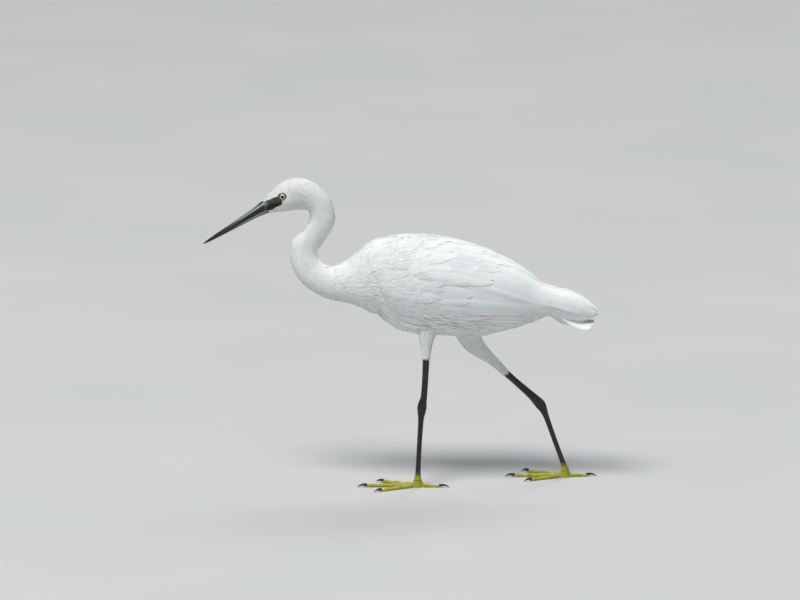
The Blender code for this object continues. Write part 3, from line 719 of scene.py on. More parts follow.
def lay_plumes(kind, ending, ground, template, draw, material, a, b, longest=np.inf, quills=False):
    """Lays one kind of loose plume at a and b, each no longer than the longest there."""
    sizes = PLUMES[kind]
    count = sizes["count"]
    lay_vanes(kind + ending, ground, (template, POINTED), draw, material, quills, a=a, b=b,
              length=np.minimum(draw.uniform(*sizes["length"], count), longest),
              half=draw.uniform(*sizes["half"], count), yaw=draw.normal(*sizes["yaw"], count),
              low=sizes["low"], high=draw.uniform(*sizes["high"], count),
              curl=draw.uniform(*sizes["curl"], count) if "curl" in sizes else 0,
              thick=sizes["thick"])


# The skin under the coat

# How deep the skin lies under the coat's surface, by station.
COAT_DEPTHS = ((1, 0.45), (2.5, 0.55), (4, 0.7), (7, 0.9), (11, 1.0), (14, 1.15), (22, 1.2))
THIGH_SKIN_DEPTH = 1.2
SKIN_VOXEL = 1.5
SKIN_EVENING = (0.5, 4)
# The outline of the bare face, by distance behind the bill's root.
FACE_TOP = ((-4, 14), (1.5, 10.5), (4.5, 7.8), (9, 7.2), (15, 6.8), (22, 5.6))
FACE_LOW = ((-4, -9.0), (2, -8.2), (4, -6.8), (11, -6.2), (18, -6.5), (24, -7.0))
FACE_BACK = 22.0
FACE_EDGE = 0.8
MOUTH_LINE = ((-2, 0.0), (6, -1.0), (14, -3.2), (22, -5.4), (25, -6.2))
MOUTH_END = 25
MOUTH_GROOVE = 0.9
# The swelling round the eye: its radius, width and height.
EYE_SWELLING = (6.6, 1.4, 0.5)


def bill_coordinates(points):
    """Distance behind the bill's root and height over its middle line, in millimetres."""
    centre, forward, upward = bill_frame()
    moved = points - np.array(centre)
    return moved @ np.array(-forward) / MM, moved @ np.array(upward) / MM


def bare_face(points):
    """One inside the bare skin between the bill and the eye, nought outside, soft between."""
    back, height = bill_coordinates(points)
    inside = np.minimum(steps_value(FACE_TOP, back) - height, height - steps_value(FACE_LOW, back))
    tail = FACE_BACK - back - 0.25 * np.maximum(0, height + 2)
    return np.clip(np.minimum(inside, tail) / FACE_EDGE, 0, 1)


def eye_distance(points):
    """How far a point lies from the eye's middle, seen from the side, in millimetres."""
    x, _, z = EYE_CENTRE
    return np.hypot(points[..., 0] / MM - x, points[..., 2] / MM - z)


def make_skin():
    """One skin for head, neck, trunk and thighs, inside the coat by its depth."""
    ends = (BILL_S + GAP, body_s(RUMP_STATION))

    def trunk(along, around):
        s = between(ends, along)
        return body_place(s, 360 * around, -by_station(COAT_DEPTHS, s))

    shapes = [wrap(260, 72, trunk)]
    for word in SIDES:
        track = leg_track(THIGHS[word])

        def thigh(along, around, track=track):
            return on_track(track, track["s"][-1] * (along * 0.995), 360 * around, -THIGH_SKIN_DEPTH)

        shapes.append(wrap(40, 28, thigh))
    piece = add_object("skin_source", to_mesh("skin", shapes))
    remesh = piece.modifiers.new("one_skin", "REMESH")
    remesh.mode = "VOXEL"
    remesh.voxel_size = SKIN_VOXEL * MM
    even = piece.modifiers.new("even", "SMOOTH")
    even.factor, even.iterations = SKIN_EVENING
    graph = bpy.context.evaluated_depsgraph_get()
    whole = bpy.data.meshes.new_from_object(piece.evaluated_get(graph))
    bpy.data.objects.remove(piece, do_unlink=True)
    whole.name = "skin"
    shape_face(whole)
    whole.shade_smooth()
    finish("skin", whole, skin_material(), "plumage", "head", "neck_upper", "neck_middle", "neck_lower",
           "torso", "thigh_left", "thigh_right")


def shape_face(mesh):
    """Presses the mouth line and the seats of the eyes into the skin."""
    points = np.empty(len(mesh.vertices) * 3)
    mesh.vertices.foreach_get("co", points)
    points = points.reshape(-1, 3)
    back, height = bill_coordinates(points)
    off = height - steps_value(MOUTH_LINE, back)
    window = np.clip((MOUTH_END - back) / 3, 0, 1) * np.clip((back + 3) / 2, 0, 1)
    groove = np.exp(-(off / 0.9) ** 2) * window * MOUTH_GROOVE
    radius, width, swelling = EYE_SWELLING
    rim = np.exp(-((eye_distance(points) - radius) / width) ** 2) * swelling
    points[:, 1] += np.sign(points[:, 1]) * (rim - groove) * MM * (np.abs(points[:, 1]) > 3 * MM)
    mesh.vertices.foreach_set("co", points.reshape(-1))
    mesh.update()


# The coat of small feathers by station: their length, half width, and the share of a
# length between one row and the next.
COAT_LENGTHS = ((0.6, 2.4), (1.5, 3.0), (2.6, 4.2), (4, 6.0), (6, 8.0), (9, 11.0), (11, 14), (12.5, 17),
                (14, 20), (22, 26))
COAT_HALVES = ((0.6, 0.34), (1.5, 0.4), (2.6, 0.5), (4, 0.6), (6, 0.75), (9, 0.95), (11, 1.2),
               (12.5, 1.6), (14, 2.1), (22, 2.3))
COAT_ROWS = ((0.6, 0.26), (2.6, 0.2), (9, 0.15), (14, 0.15), (22, 0.16))
# The pieces of the coat: stations from and to, and how far the fluffiest tips stand off.
COAT_PIECES = {"face": (0.6, 3.0, 0.0), "head": (3.0, 5.0, 0.0), "neck_upper": (5.0, 8.5, 0.0),
               "neck_lower": (8.5, 12.0, 0.0), "breast": (12.0, 15.0, 0.3), "belly": (15.0, 22.0, 0.4)}
SIDE_SHARE = 0.62
SQUARE_GIRTH = 1.03
COAT_THICKNESS = 0.2
# Where the coat is ruffled: the nape, the patch behind the eye and the wing's front, each as
# its strength, station, reach along the body, angle and spread round it.
RUFFLES = ((1.0, 5.6, 16, 20, 60), (1.3, 3.9, 6, 85, 22), (1.0, 13.7, 8, 82, 20))
# How far behind the bill's root the feathers begin, by height over the bill's middle line.
FEATHERS_FROM = ((-8, -2.5), (-6.6, 0.5), (-5.5, 2.0), (-0.1, 2.0), (0, -1.5), (5, -1.5), (6.5, -3.5))
# How far from the eye's middle roots stay, before and behind it, and tips.
EYE_CLEARANCES = (5.2, 3.4, 4.7)


def girth(s):
    """The way round the body, from that round an oval of its size."""
    above, below, wide = read_track(BODY_TRACK, s, 9, 12)
    deep = (above + below) / 2
    oval = math.pi * (3 * (deep + wide) - math.sqrt((3 * deep + wide) * (deep + 3 * wide)))
    return oval * SQUARE_GIRTH


def ring_angles(count, row, jitter, draw):
    """Angles round a limb, staggered from one row to the next."""
    return (np.arange(count) + 0.5 * (row % 2) + draw.uniform(-jitter, jitter, count)) * 360 / count - 180


def coat_roots(start, end, draw):
    """Roots in staggered rows round the body, with the sizes that the place asks for."""
    found = []
    s = start
    while s < end:
        tables = (COAT_LENGTHS, COAT_HALVES, COAT_ROWS)
        length, half, share = (float(by_station(table, s)) for table in tables)
        count = max(8, int(girth(s) / (half * 2 * SIDE_SHARE)))
        angles = ring_angles(count, len(found), 0.45, draw)
        places = s + draw.uniform(-0.5, 0.5, count) * (length * share)
        found.append(np.stack([places, angles, length * draw.uniform(0.8, 1.2, count),
                               half * draw.uniform(0.8, 1.2, count)]))
        s += length * share
    return np.concatenate(found, axis=1)


def wing_front(share):
    """Where the wing's front edge lies: it bulges at the bend of the wing."""
    upper = WING_FRONT + WING_FRONT_TOP * (1 - share / WING_FRONT_AT) ** 2
    lower = WING_FRONT + WING_FRONT_LOW * ((share - WING_FRONT_AT) / (1 - WING_FRONT_AT)) ** 2
    return np.where(share < WING_FRONT_AT, upper, lower)


def under_wing(s, angle):
    """Roots that the folded wing hides."""
    x = read_track(BODY_TRACK, s, 0, 1)[0]
    share = np.abs(angle) / steps_value(WING_LOW_ANGLES, x)
    return (x > wing_front(share) + 6) & (share < 0.95) & (s > body_s(SHOULDER_STATION))


def ruffled(s, angle):
    """How much the coat is ruffled."""
    return sum(strength * (np.exp(-((s - body_s(station)) / reach) ** 2)
                           * np.exp(-((np.abs(angle) - at) / spread) ** 2))
               for strength, station, reach, at, spread in RUFFLES)


def make_coat(name, number, template, material):
    """One length of the body's coat, laid along the spine."""
    start, end, fluff = COAT_PIECES[name]
    draw = np.random.default_rng(SEED + number)
    s, angle, length, half = coat_roots(body_s(start), body_s(end), draw)
    points = body_place(s, angle, 0.0)
    tips = body_place(s + length * 0.8, angle, 0.0)
    back, height = bill_coordinates(points)
    keep = ~under_wing(s, angle) & (bare_face(tips) < 0.8)
    keep &= (back > steps_value(FEATHERS_FROM, height)) | (s > body_s(2.5))
    before, behind, at_tip = EYE_CLEARANCES
    clear = np.where(points[:, 0] > EYE_CENTRE[0] * MM, behind, before)
    keep &= (eye_distance(points) > clear) & (eye_distance(tips) > at_tip)
    s, angle, length, half = s[keep], angle[keep], length[keep], half[keep]
    ruffle = ruffled(s, angle)
    count = len(s)
    over_bill = 0.6 * (s < BILL_S + 4) * (np.abs(height[keep]) > 3)
    lay_vanes("coat_" + name, BODY_GROUND, (template, POINTED), draw, material, a=s, b=angle,
              length=length, half=half, yaw=draw.normal(0, 4, count) * (1 + 3 * ruffle),
              low=-by_station(COAT_DEPTHS, s) - 0.1 + over_bill,
              high=draw.uniform(-0.2, 0.05, count) + fluff * draw.random(count) + over_bill
              + 1.3 * ruffle * draw.random(count),
              curl=draw.uniform(-0.1, 0.1, count), thick=half * COAT_THICKNESS)


# The thigh's feathers at its top and how much less they are at its end.
THIGH_HALF = (1.5, 0.8)
THIGH_LENGTH = (13.0, 6.5)
THIGH_ROW_SHARE = 0.15
THIGH_COAT_FROM = 4.0


def make_thigh_coat(word, template, material, number):
    """The short feathers of the thigh, which end in a soft edge on the bare shank."""
    draw = np.random.default_rng(SEED + number)
    end = leg_track(THIGHS[word])["s"][-1]
    track = leg_track(THIGHS[word] + SHANKS[word][1:2])
    found = []
    s = THIGH_COAT_FROM
    while s < end - 1.5:
        half = THIGH_HALF[0] - THIGH_HALF[1] * s / end
        length = THIGH_LENGTH[0] - THIGH_LENGTH[1] * s / end
        deep = float(read_track(track, s, 9, 10)[0])
        count = max(9, int(2 * math.pi * deep / (half * 1.3)))
        angles = ring_angles(count, len(found), 0.3, draw)
        places = s + draw.uniform(-0.6, 0.6, count)
        found.append(np.stack([places, angles, np.full(count, length), np.full(count, half)]))
        s += length * THIGH_ROW_SHARE
    s, angle, length, half = np.concatenate(found, axis=1)
    count = len(s)
    length = np.minimum(length, end - s + 2) * draw.uniform(0.8, 1.2, count) + draw.uniform(0, 4, count)

    def place(a, b, lift):
        return on_track(track, a, b, lift)

    lay_vanes("thigh_coat_" + word, Ground(place, (0.0, end + 5)), (template, POINTED), draw, material,
              a=s, b=angle, length=length, half=half, yaw=draw.normal(0, 5, count), low=-1.0,
              high=draw.uniform(-0.15, 0.1, count), curl=draw.uniform(0, 0.2, count),
              thick=half * COAT_THICKNESS)


# The folded wings. Each tract lies over the roots of the one behind it. A tract's rows
# run from its front to its rear. Its numbers are the roots' distance behind the wing's
# front edge (first and last row), how many rows, the shares of the way down the wing,
# length and half width (first and last row) and the lift of the tips over the wing.
WING_TRACTS = {
    "marginal_coverts": {"back": (0.5, 20), "rows": 8, "shares": (0.05, 1.0), "length": (9, 15),
                         "half": (1.7, 2.6), "lift": 0.2},
    "lesser_coverts": {"back": (23, 34), "rows": 3, "shares": (0.45, 0.99), "length": (18, 23),
                       "half": (3.0, 3.9), "lift": 0.2},
    "median_coverts": {"back": (41, 49), "rows": 2, "shares": (0.48, 0.98), "length": (28, 33),
                       "half": (4.4, 5.0), "lift": 0.2},
    "greater_coverts": {"back": (60, 60), "rows": 1, "shares": (0.50, 0.98), "length": (52, 52),
                        "half": (6.0, 6.0), "lift": 0.25},
    "scapulars": {"back": (2, 84), "rows": 9, "shares": (0.03, 0.60), "length": (22, 66),
                  "half": (3.6, 7.4), "lift": 0.35},
}
# Long quills, as the places of the upper and lowest root and tip, and their shares.
WING_QUILLS = {
    "primaries": {"count": 10, "roots": (158, 132), "tips": (236, 228), "shares": (0.46, 1.0), "half": 4.6,
                  "lift": -0.5},
    "secondaries": {"count": 10, "roots": (80, 56), "tips": (214, 172), "shares": (0.60, 0.985),
                    "half": 6.0, "lift": 0.1},
    "tertials": {"count": 9, "roots": (92, 78), "tips": (233, 227), "shares": (0.05, 0.62), "half": 6.2,
                 "lift": 0.5},
}
# How far the wing's body and its quills reach back, from the back's ridge to the low edge.
WING_ENDS = ((0, 231.0), (0.25, 233.0), (0.5, 234.5), (0.8, 232.5), (1, 225.0))
WING_TIPS = ((0, 231.5), (0.25, 234.0), (0.5, 235.5), (0.8, 234.0), (0.93, 230.0), (1, 226.0))
# Half the depth of the body behind the rump, where the folded wings close together.
WING_TIP_DEPTH = ((188, 15.0), (205, 15.5), (220, 11.0), (238, 5.0))
WING_TIP_ROUND = 9.0
TRACT_SPACING = 1.15
# The length of the way down a wing that the spacing of its vanes is worked out for.
WING_HEIGHT = 110
# How much each vane is lifted over the one below it, among quills and among coverts.
QUILL_STEP = 0.32
TRACT_STEP = 0.13
QUILL_CURL = -2.6
# Where the mantle's loose feathers start: shares, and distances behind the wing's front.
MANTLE_ROOTS = {"shares": (0.0, 0.56), "back": (-16, 30)}
# The scapular tract stands proud of the coverts down to this share of the wing.
SCAPULAR_EDGE = ((-40, 0.44), (-20, 0.52), (35, 0.62), (94, 0.66), (130, 0.72), (240, 0.8))
SCAPULAR_RISE = 1.1
CORE_THICKNESS = ((-40, 3.6), (-15, 4.4), (50, 4.6), (120, 3.9), (190, 2.4), (240, 1.4))
# The way round the wing's body: its outer face, low edge, inner face and upper edge.
CORE_SHARES = ((0, 0), (0.47, 1), (0.5, 1), (0.97, 0), (1, 0))
CORE_UPNESS = ((0, 1), (0.47, 1), (0.5, 0), (0.97, 0), (1, 1))
CORE_INNER = 2.2
WING_STRETCH = (-45.0, 240.0)
WING_SHARES = (-0.03, 1.08)
SHARE_STEP = 0.02


def wing_relief(x, share):
    """How thick the wing's body is: rounded at its edges, and fuller under the scapulars."""
    behind = x - wing_front(share)
    edge = np.sqrt(np.clip(0.06 + behind / 14, 0, 1)) * np.clip(0.25 + 4 * (1 - share), 0, 1)
    tract = rise_between(steps_value(SCAPULAR_EDGE, x) - share, -0.04, 0.04)
    tract = tract * rise_between(behind, 6, 40) * (1 - rise_between(x, 120, 170))
    return steps_value(CORE_THICKNESS, x) * edge + SCAPULAR_RISE * (tract - 0.5)


def tract_roots(tract, draw):
    """Staggered rows of one tract's vanes."""
    found = []
    for row in range(tract["rows"]):
        at = row / max(1, tract["rows"] - 1)
        length, half, back = (between(tract[key], at) for key in ("length", "half", "back"))
        spacing = half * TRACT_SPACING / WING_HEIGHT
        share = np.arange(*tract["shares"], spacing)
        share = np.clip(share + spacing * (0.5 * (row % 2) + draw.uniform(-0.15, 0.15, len(share))), 0.02, 1)
        count = len(share)
        x = wing_front(share) + back + draw.uniform(-0.12, 0.12, count) * length
        found.append(np.stack([x, share, length * draw.uniform(0.88, 1.1, count),
                               half * draw.uniform(0.9, 1.1, count), np.full(count, spacing)]))
    return np.concatenate(found, axis=1)


def make_wing_core(word, flat):
    """The wing's smooth body. It closes behind and thickens there, up to the other wing."""
    def slab(along, around):
        share = steps_value(CORE_SHARES, around)
        upness = steps_value(CORE_UPNESS, around)
        end = steps_value(WING_ENDS, share)
        x = between((wing_front(share), end), along)
        close = np.clip((end - x) / WING_TIP_ROUND, 0, 1)
        close = np.sqrt(1 - (1 - close) ** 2)
        deep = 0.9 * steps_value(WING_TIP_DEPTH, x)
        outer = (wing_relief(x, share) - 0.8 - 0.5 * rise_between(x, 215, 225)) * close
        outer = outer - 0.35 * deep * (1 - close)
        inner = -CORE_INNER - (deep - CORE_INNER) * rise_between(x, 186, 200)
        return flat(x, share, outer * upness + inner * (1 - upness))

    finish("wing_core_" + word, [wrap(90, 60, slab)], skin_material(), "plumage", "wing_" + word)


def make_wing(word, side, templates, material):
    """One folded wing: a smooth body under tracts of coverts and scapulars and long quills."""
    flat = wing_place(side)

    def place(x, share, lift):
        return flat(x, share, lift + wing_relief(x, share))

    ground = Ground(place, WING_STRETCH, WING_SHARES, SHARE_STEP, -side, (0.0, 1.06))
    make_wing_core(word, flat)
    draw = np.random.default_rng(SEED + 40 + side)
    for name, quills in WING_QUILLS.items():
        count = quills["count"]
        order = np.linspace(0, 1, count)
        root, tip = (between(quills[key], order) + draw.uniform(-2, 2, count) for key in ("roots", "tips"))
        share = between(quills["shares"], order)
        tip = np.minimum(tip, steps_value(WING_TIPS, share) + draw.uniform(-0.8, 0.8, count))
        lay_vanes(name + "_" + word, ground, (templates["long"], QUILL), draw, material, quills=True,
                  a=root, b=share, length=tip - root, half=quills["half"] * draw.uniform(0.95, 1.05, count),
                  yaw=draw.normal(0, 0.4, count), low=-0.75,
                  high=quills["lift"] + draw.uniform(-0.1, 0.1, count), curl=QUILL_CURL,
                  step=QUILL_STEP / (order[1] * (share[-1] - share[0])), thick=0.22)
    for name, tract in WING_TRACTS.items():
        x, share, length, half, spacing = tract_roots(tract, draw)
        count = len(x)
        template = templates["small" if tract["half"][1] < 3 else "middle"]
        lay_vanes(name + "_" + word, ground, (template, ROUND), draw, material, a=x, b=share, length=length,
                  half=half, yaw=draw.normal(0, 2.5, count), low=-0.9,
                  high=tract["lift"] + draw.uniform(-0.12, 0.12, count),
                  curl=draw.uniform(-0.2, 0.0, count),
                  step=TRACT_STEP / spacing * draw.uniform(0.6, 1.4, count), thick=0.1 + half * 0.02)
    count = PLUMES["mantle"]["count"]
    share = draw.uniform(*MANTLE_ROOTS["shares"], count)
    x = wing_front(share) + draw.uniform(*MANTLE_ROOTS["back"], count) * (1 - 0.5 * share)
    lay_plumes("mantle", "_" + word, ground, templates["tuft"], draw, material, x, share)


# Rows of feathers along the middle of the back: first and last place along x, and step.
BACK_ROWS = (-22, 184, 9)
BACK_ANGLES = (-9.0, 0.0, 9.0)


def make_back(template, material):
    """The feathers along the middle of the back, which cover the line between the wings."""
    draw = np.random.default_rng(SEED + 50)
    x = np.repeat(np.arange(*BACK_ROWS), len(BACK_ANGLES))
    count = len(x)
    angle = np.tile(BACK_ANGLES, count // len(BACK_ANGLES)) + draw.uniform(-3, 3, count)
    narrowing = rise_between(x, 120, 180)

    def place(a, b, lift):
        return body_place(s_at(a), b, lift + wing_relief(a, 0.0))

    lay_vanes("back_feathers", Ground(place, WING_STRETCH), (template, ROUND), draw, material,
              a=x + draw.uniform(-4, 4, count), b=angle * (1 - 0.5 * narrowing),
              length=26 + 26 * rise_between(x, 0, 120),
              half=4.2 + 2.2 * rise_between(x, -20, 60) - 2.4 * narrowing, yaw=draw.normal(0, 2, count),
              low=-0.8, high=draw.uniform(0.5, 0.9, count), curl=-0.1, thick=0.25)


TAIL_LINE = ((178, 209.5), (190, 204.5), (201, 199.5), (212, 196), (228, 193.6))
TAIL_CORE = (178.4, 224.0)
TAIL_STRETCH = (175.0, 232.0)
TAIL_VANES = 12
TAIL_VANE_LENGTH = 47.0
TAIL_VANE_HALF = 6.2
TAIL_VANE_SPACING = 2.3
TAIL_DROOP = 0.024
# The tail's vanes at its root and 44 mm behind it, where they are spread to the full.
TAIL_OPENS = (184, 44)


def stub_place(x, angle, lift):
    """Points on the woolly stub under the tail's vanes, in metres."""
    along = (x - TAIL_CORE[0]) / (TAIL_CORE[1] - TAIL_CORE[0])
    turn = np.radians(angle)
    close = np.sqrt(np.clip(1.05 - along ** 6, 0, 1))
    wide = (10.3 + 1.4 * np.sin(math.pi * along) - 2.5 * along ** 3) * close
    high = (5.0 + 15.5 * rise_between(x, 184, 204)) * (1 - 0.45 * along ** 3) * close
    deep = np.where(np.cos(turn) > 0, high, (4.0 - 3.2 * along) * close)
    z = steps_value(TAIL_LINE, x) + (deep + lift) * np.cos(turn)
    return np.stack(np.broadcast_arrays(x, (wide + lift) * np.sin(turn), z), -1) * MM


def make_tail(template, plume, material):
    """The tail: a woolly stub and twelve long vanes, the middle pair on top."""
    draw = np.random.default_rng(SEED + 60)

    def stub(along, around):
        return stub_place(between(TAIL_CORE, along), 360 * around, 0.0)

    finish("tail_core", [wrap(24, 36, stub)], skin_material(), "plumage", "tail")
    count = PLUMES["uppertail_coverts"]["count"]
    x = draw.uniform(184, TAIL_CORE[1] - 3, count)
    angle = draw.uniform(-80, 80, count)
    lay_plumes("uppertail_coverts", "", Ground(stub_place, TAIL_STRETCH, turn=1), plume, draw, material,
               x, angle, TAIL_CORE[1] + 1 - x, quills=True)
    offsets = np.arange(TAIL_VANES) - (TAIL_VANES - 1) / 2
    rank = np.abs(offsets) - 0.5

    def place(x, y, lift):
        open_out = np.clip((x - TAIL_OPENS[0]) / TAIL_OPENS[1], 0, 1)
        z = steps_value(TAIL_LINE, x) + lift - TAIL_DROOP * y ** 2 * open_out
        spread = 0.62 + 0.38 * open_out
        return np.stack(np.broadcast_arrays(x, y * spread, z), -1) * MM

    ground = Ground(place, TAIL_STRETCH, (-24.0, 24.0), 0.5, 1)
    lay_vanes("tail_vanes", ground, (template, QUILL), draw, material, quills=True,
              a=183 + draw.uniform(-1, 1, TAIL_VANES), b=offsets * TAIL_VANE_SPACING,
              length=TAIL_VANE_LENGTH - 0.26 * rank ** 2 + draw.uniform(-0.4, 0.4, TAIL_VANES),
              half=TAIL_VANE_HALF, yaw=offsets * 0.4, low=1.8 - rank * 0.3, high=4.8 - rank * 0.42,
              step=-0.03 * np.sign(offsets), thick=0.5)


def make_undertail(template, material):
    """The long soft coverts under the tail and round the vent."""
    draw = np.random.default_rng(SEED + 70)
    count = PLUMES["undertail_coverts"]["count"]
    x = draw.uniform(140, 184, count)
    angle = draw.uniform(112, 180, count) * draw.choice((-1, 1), count)
    lay_plumes("undertail_coverts", "", BODY_GROUND, template, draw, material, s_at(x), angle)


# Where the loose plumes of the flank and the thigh's root start.
FLANK_ROOTS = {"x": (20, 128), "share": (0.90, 1.06)}
FLANK_END = 168
THIGH_PLUME_ROOTS = {"x": (-34, 22), "angle": (112, 142)}


def make_flanks(word, side, template, material):
    """Loose flank plumes that hang over the low edge of the wing and the root of the thigh."""
    draw = np.random.default_rng(SEED + 80 + side)
    count = PLUMES["flank_plumes"]["count"]
    x = np.sort(draw.uniform(*FLANK_ROOTS["x"], count))
    share = draw.uniform(*FLANK_ROOTS["share"], count)
    ground = Ground(wing_place(side), WING_STRETCH, WING_SHARES, SHARE_STEP, -side)
    lay_plumes("flank_plumes", "_" + word, ground, template, draw, material, x, share, FLANK_END - x)
    count = PLUMES["thigh_root_plumes"]["count"]
    x = THIGHS[word][0][0] + draw.uniform(*THIGH_PLUME_ROOTS["x"], count)
    angle = side * draw.uniform(*THIGH_PLUME_ROOTS["angle"], count)
    lay_plumes("thigh_root_plumes", "_" + word, BODY_GROUND, template, draw, material, s_at(x), angle)


# The head's hard parts

LOWER_BILL_REACH = 0.975
BILL_TUCK = 4.0
# How much narrower the bill is at the end of its tuck under the feathers.
UPPER_TUCK_SHARE = 0.16
LOWER_TUCK_SHARE = 0.34
# The way round half a bill: this share is its curved outside, the rest is its flat.
BILL_OUTSIDE = 0.8
NOSTRIL_REACH = 14.0
NOSTRIL_HEIGHT = 2.0
NOSTRIL_LENGTH = 9.0
NOSTRIL_GROOVE_END = 48
# The pale bands of the two halves: where they fade, and their line over the bill's middle. The upper band is
# a painted highlight and the lower band is pale horn.
UPPER_SHEEN_BAND = {"from": 14, "to": 66, "height": 5.0, "slope": -0.05, "width": 2.2}
LOWER_STRIPE = {"from": 16, "to": 56, "height": -4.2, "slope": 0.045, "width": 1.7}


def bill_half(upward, reach):
    """Half of the bill: ridged above, grooved at the nostril, sharp along the mouth line."""
    centre, forward, up = (np.array(part) for part in bill_frame())
    narrower = UPPER_TUCK_SHARE if upward > 0 else LOWER_TUCK_SHARE

    def place(along, around):
        out = -BILL_TUCK + (reach * BILL_LENGTH + BILL_TUCK) * along
        share = np.maximum(out, 0) / BILL_LENGTH
        tucked = 1 - narrower * rise_between(-out, -2.5, BILL_TUCK)
        deep = steps_value(BILL_HALF_DEPTHS, share) * tucked
        wide = steps_value(BILL_HALF_WIDTHS, share) * tucked
        arc = np.clip(around / BILL_OUTSIDE, 0, 1) * math.pi
        flat = np.clip((around - BILL_OUTSIDE) / 0.2, 0, 1)
        y = wide * np.cos(arc) * np.where(around > BILL_OUTSIDE, 1 - 2 * flat, 1)
        height = GAP / 2 + (deep - GAP / 2) * np.sin(arc) ** 0.95
        height = np.where(around > BILL_OUTSIDE, GAP / 2, height)
        if upward > 0:
            near = height - NOSTRIL_HEIGHT
            groove = np.exp(-near ** 2) * np.clip((out - 1) / 5, 0, 1)
            groove = groove * np.clip((NOSTRIL_GROOVE_END - out) / 30, 0, 1)
            ends = np.clip(2.2 - np.abs(out - NOSTRIL_REACH) / NOSTRIL_LENGTH * 4, 0, 1)
            slit = np.exp(-(near * 1.9) ** 2) * ends
            y = y - np.sign(y) * (0.5 * groove + 0.8 * slit) * (around <= BILL_OUTSIDE)
        point = centre + forward * out[:, None] * MM + up * upward * height[:, None] * MM
        point[:, 1] += y * MM
        return point

    return wrap(110, 40, place)


def make_bill():
    # The upper half's pale band is a painted highlight. The lower half's band is the horn's own colour.
    finish("bill_upper_horn", [bill_half(1, 1.0)],
           bill_material("upper_bill_horn", "#a3adb8", UPPER_SHEEN_BAND), "bill", "bill_upper")
    finish("bill_lower_horn", [bill_half(-1, LOWER_BILL_REACH)],
           bill_material("lower_bill_horn", "#c0b4a9", LOWER_STRIPE), "bill", "bill_lower")


# The sheet that the bare face is cut from: its lengths along the spine, counted from the
# bill's root, and the angles round the head, each as its start and its size.
FACE_SHEET = ((-0.8, 28.3), (38, 84))
FACE_THICKNESS = 0.4


def make_face():
    """The bare skin between bill and eye, on both sides, a thin hide just over the skin."""
    shapes = []
    for side in SIDES.values():
        shape, along, around = new_grid(70, 50)
        s = BILL_S + FACE_SHEET[0][0] + FACE_SHEET[0][1] * along
        angle = side * (FACE_SHEET[1][0] + FACE_SHEET[1][1] * around)
        points = on_track(BODY_TRACK, s, angle, 0.0)
        bare = bare_face(points)
        back, height = bill_coordinates(points)
        crease = np.exp(-((height - steps_value(MOUTH_LINE, back)) / 0.55) ** 2)
        lift = -1.5 + 1.45 * bare - 0.75 * crease * np.clip((24 - back) / 2, 0, 1)
        lift = lift - 0.75 * (1 - rise_between(back, -0.5, 3.5))
        for vert, point, value in zip(shape.verts, on_track(BODY_TRACK, s, angle, lift), bare):
            vert.co = point
            vert.tag = value <= 0
        bmesh.ops.delete(shape, geom=[face for face in shape.faces if all(v.tag for v in face.verts)],
                         context="FACES")
        bmesh.ops.recalc_face_normals(shape, faces=shape.faces[:])
        if sum(face.normal.y * side for face in shape.faces) < 0:
            bmesh.ops.reverse_faces(shape, faces=shape.faces[:])
        bmesh.ops.solidify(shape, geom=shape.faces[:], thickness=FACE_THICKNESS * MM)
        shapes.append(shape)
    finish("bare_face", shapes, lore_material(), "leg")


EYE_RADIUS = 5.4
# The clear front of the eye: how far it bulges, and the radius of the bulge.
CORNEA = (0.45, 2.6)
LID_RADIUS = 4.35
LID_HALF_BAND = 1.0
LID_FOLDS = 18
LID_OUT = 3.45


def make_eyes(lid_material):
    """Each eye is a wet ball with a bulging clear front, in a ring of bare lids."""
    shine = eye_material()
    x, y, z = EYE_CENTRE
    for word, side in SIDES.items():
        ball = bmesh.new()
        bmesh.ops.create_uvsphere(ball, u_segments=40, v_segments=24, radius=EYE_RADIUS * MM)
        for vert in ball.verts:
            off = math.hypot(vert.co.x, vert.co.y) / MM
            if vert.co.z > 0:
                vert.co.z += CORNEA[0] * MM * math.exp(-(off / CORNEA[1]) ** 2)
        turn = Matrix.Rotation(math.radians(-90 * side), 4, "X")
        bmesh.ops.transform(ball, matrix=Matrix.Translation(Vector((x, side * y, z)) * MM) @ turn,
                            verts=ball.verts)
        finish("eyeball_" + word, [ball], shine, "eye", "eye_" + word)

        def ring(along, around, side=side):
            turn = 2 * math.pi * along
            section = 2 * math.pi * around
            folds = 0.06 * np.cos(LID_FOLDS * turn) * np.maximum(0, np.cos(section))
            radius = LID_RADIUS + (LID_HALF_BAND + folds) * np.cos(section)
            stretch = 1 + 0.08 * np.cos(turn) ** 2
            droop = 0.3 * np.maximum(0, np.sin(turn))
            out = LID_OUT + 0.7 * np.sin(section) - 0.42 * (radius - 4.0)
            return np.stack([x + radius * stretch * np.cos(turn), side * (y + out),
                             z + (radius * 0.93 - droop) * np.sin(turn)], -1) * MM

        finish("lids_" + word, [wrap(72, 20, ring)], lid_material, "leg")


# Legs and feet

# Each toe: its angle from straight ahead, length, width and the length of its claw.
TOES = {"inner": (-27, 47, 6.2, 9.0), "middle": (1, 62, 6.6, 10.0), "outer": (29, 51, 6.2, 8.5),
        "hind": (174, 27, 5.8, 11.0)}
TOE_PAD_SPACING = 14.0
TOE_PLATE = 2.1
TOE_WEDGE = 0.235
TOE_END = 2.4
CLAW_TUCK = 1.6
FOOT_RADIUS = 6.2
FOOT_TOP = 12.5
FOOT_LOBE = 0.3
LOBE_RADIUS = 5.0
# Radius of the foot's post at the floor, and how much less it is at its top.
FOOT_POST = (5.6, 2.0)
FOOT_RING = 1.7
SHIN_PLATE = 2.6
SHIN_PLATE_HEIGHT = 0.22
SHIN_SCALE = 1.3


def toe_way(word, angle):
    """The direction of a toe in radians, from its angle off straight ahead."""
    return math.radians(180 - SIDES[word] * angle)


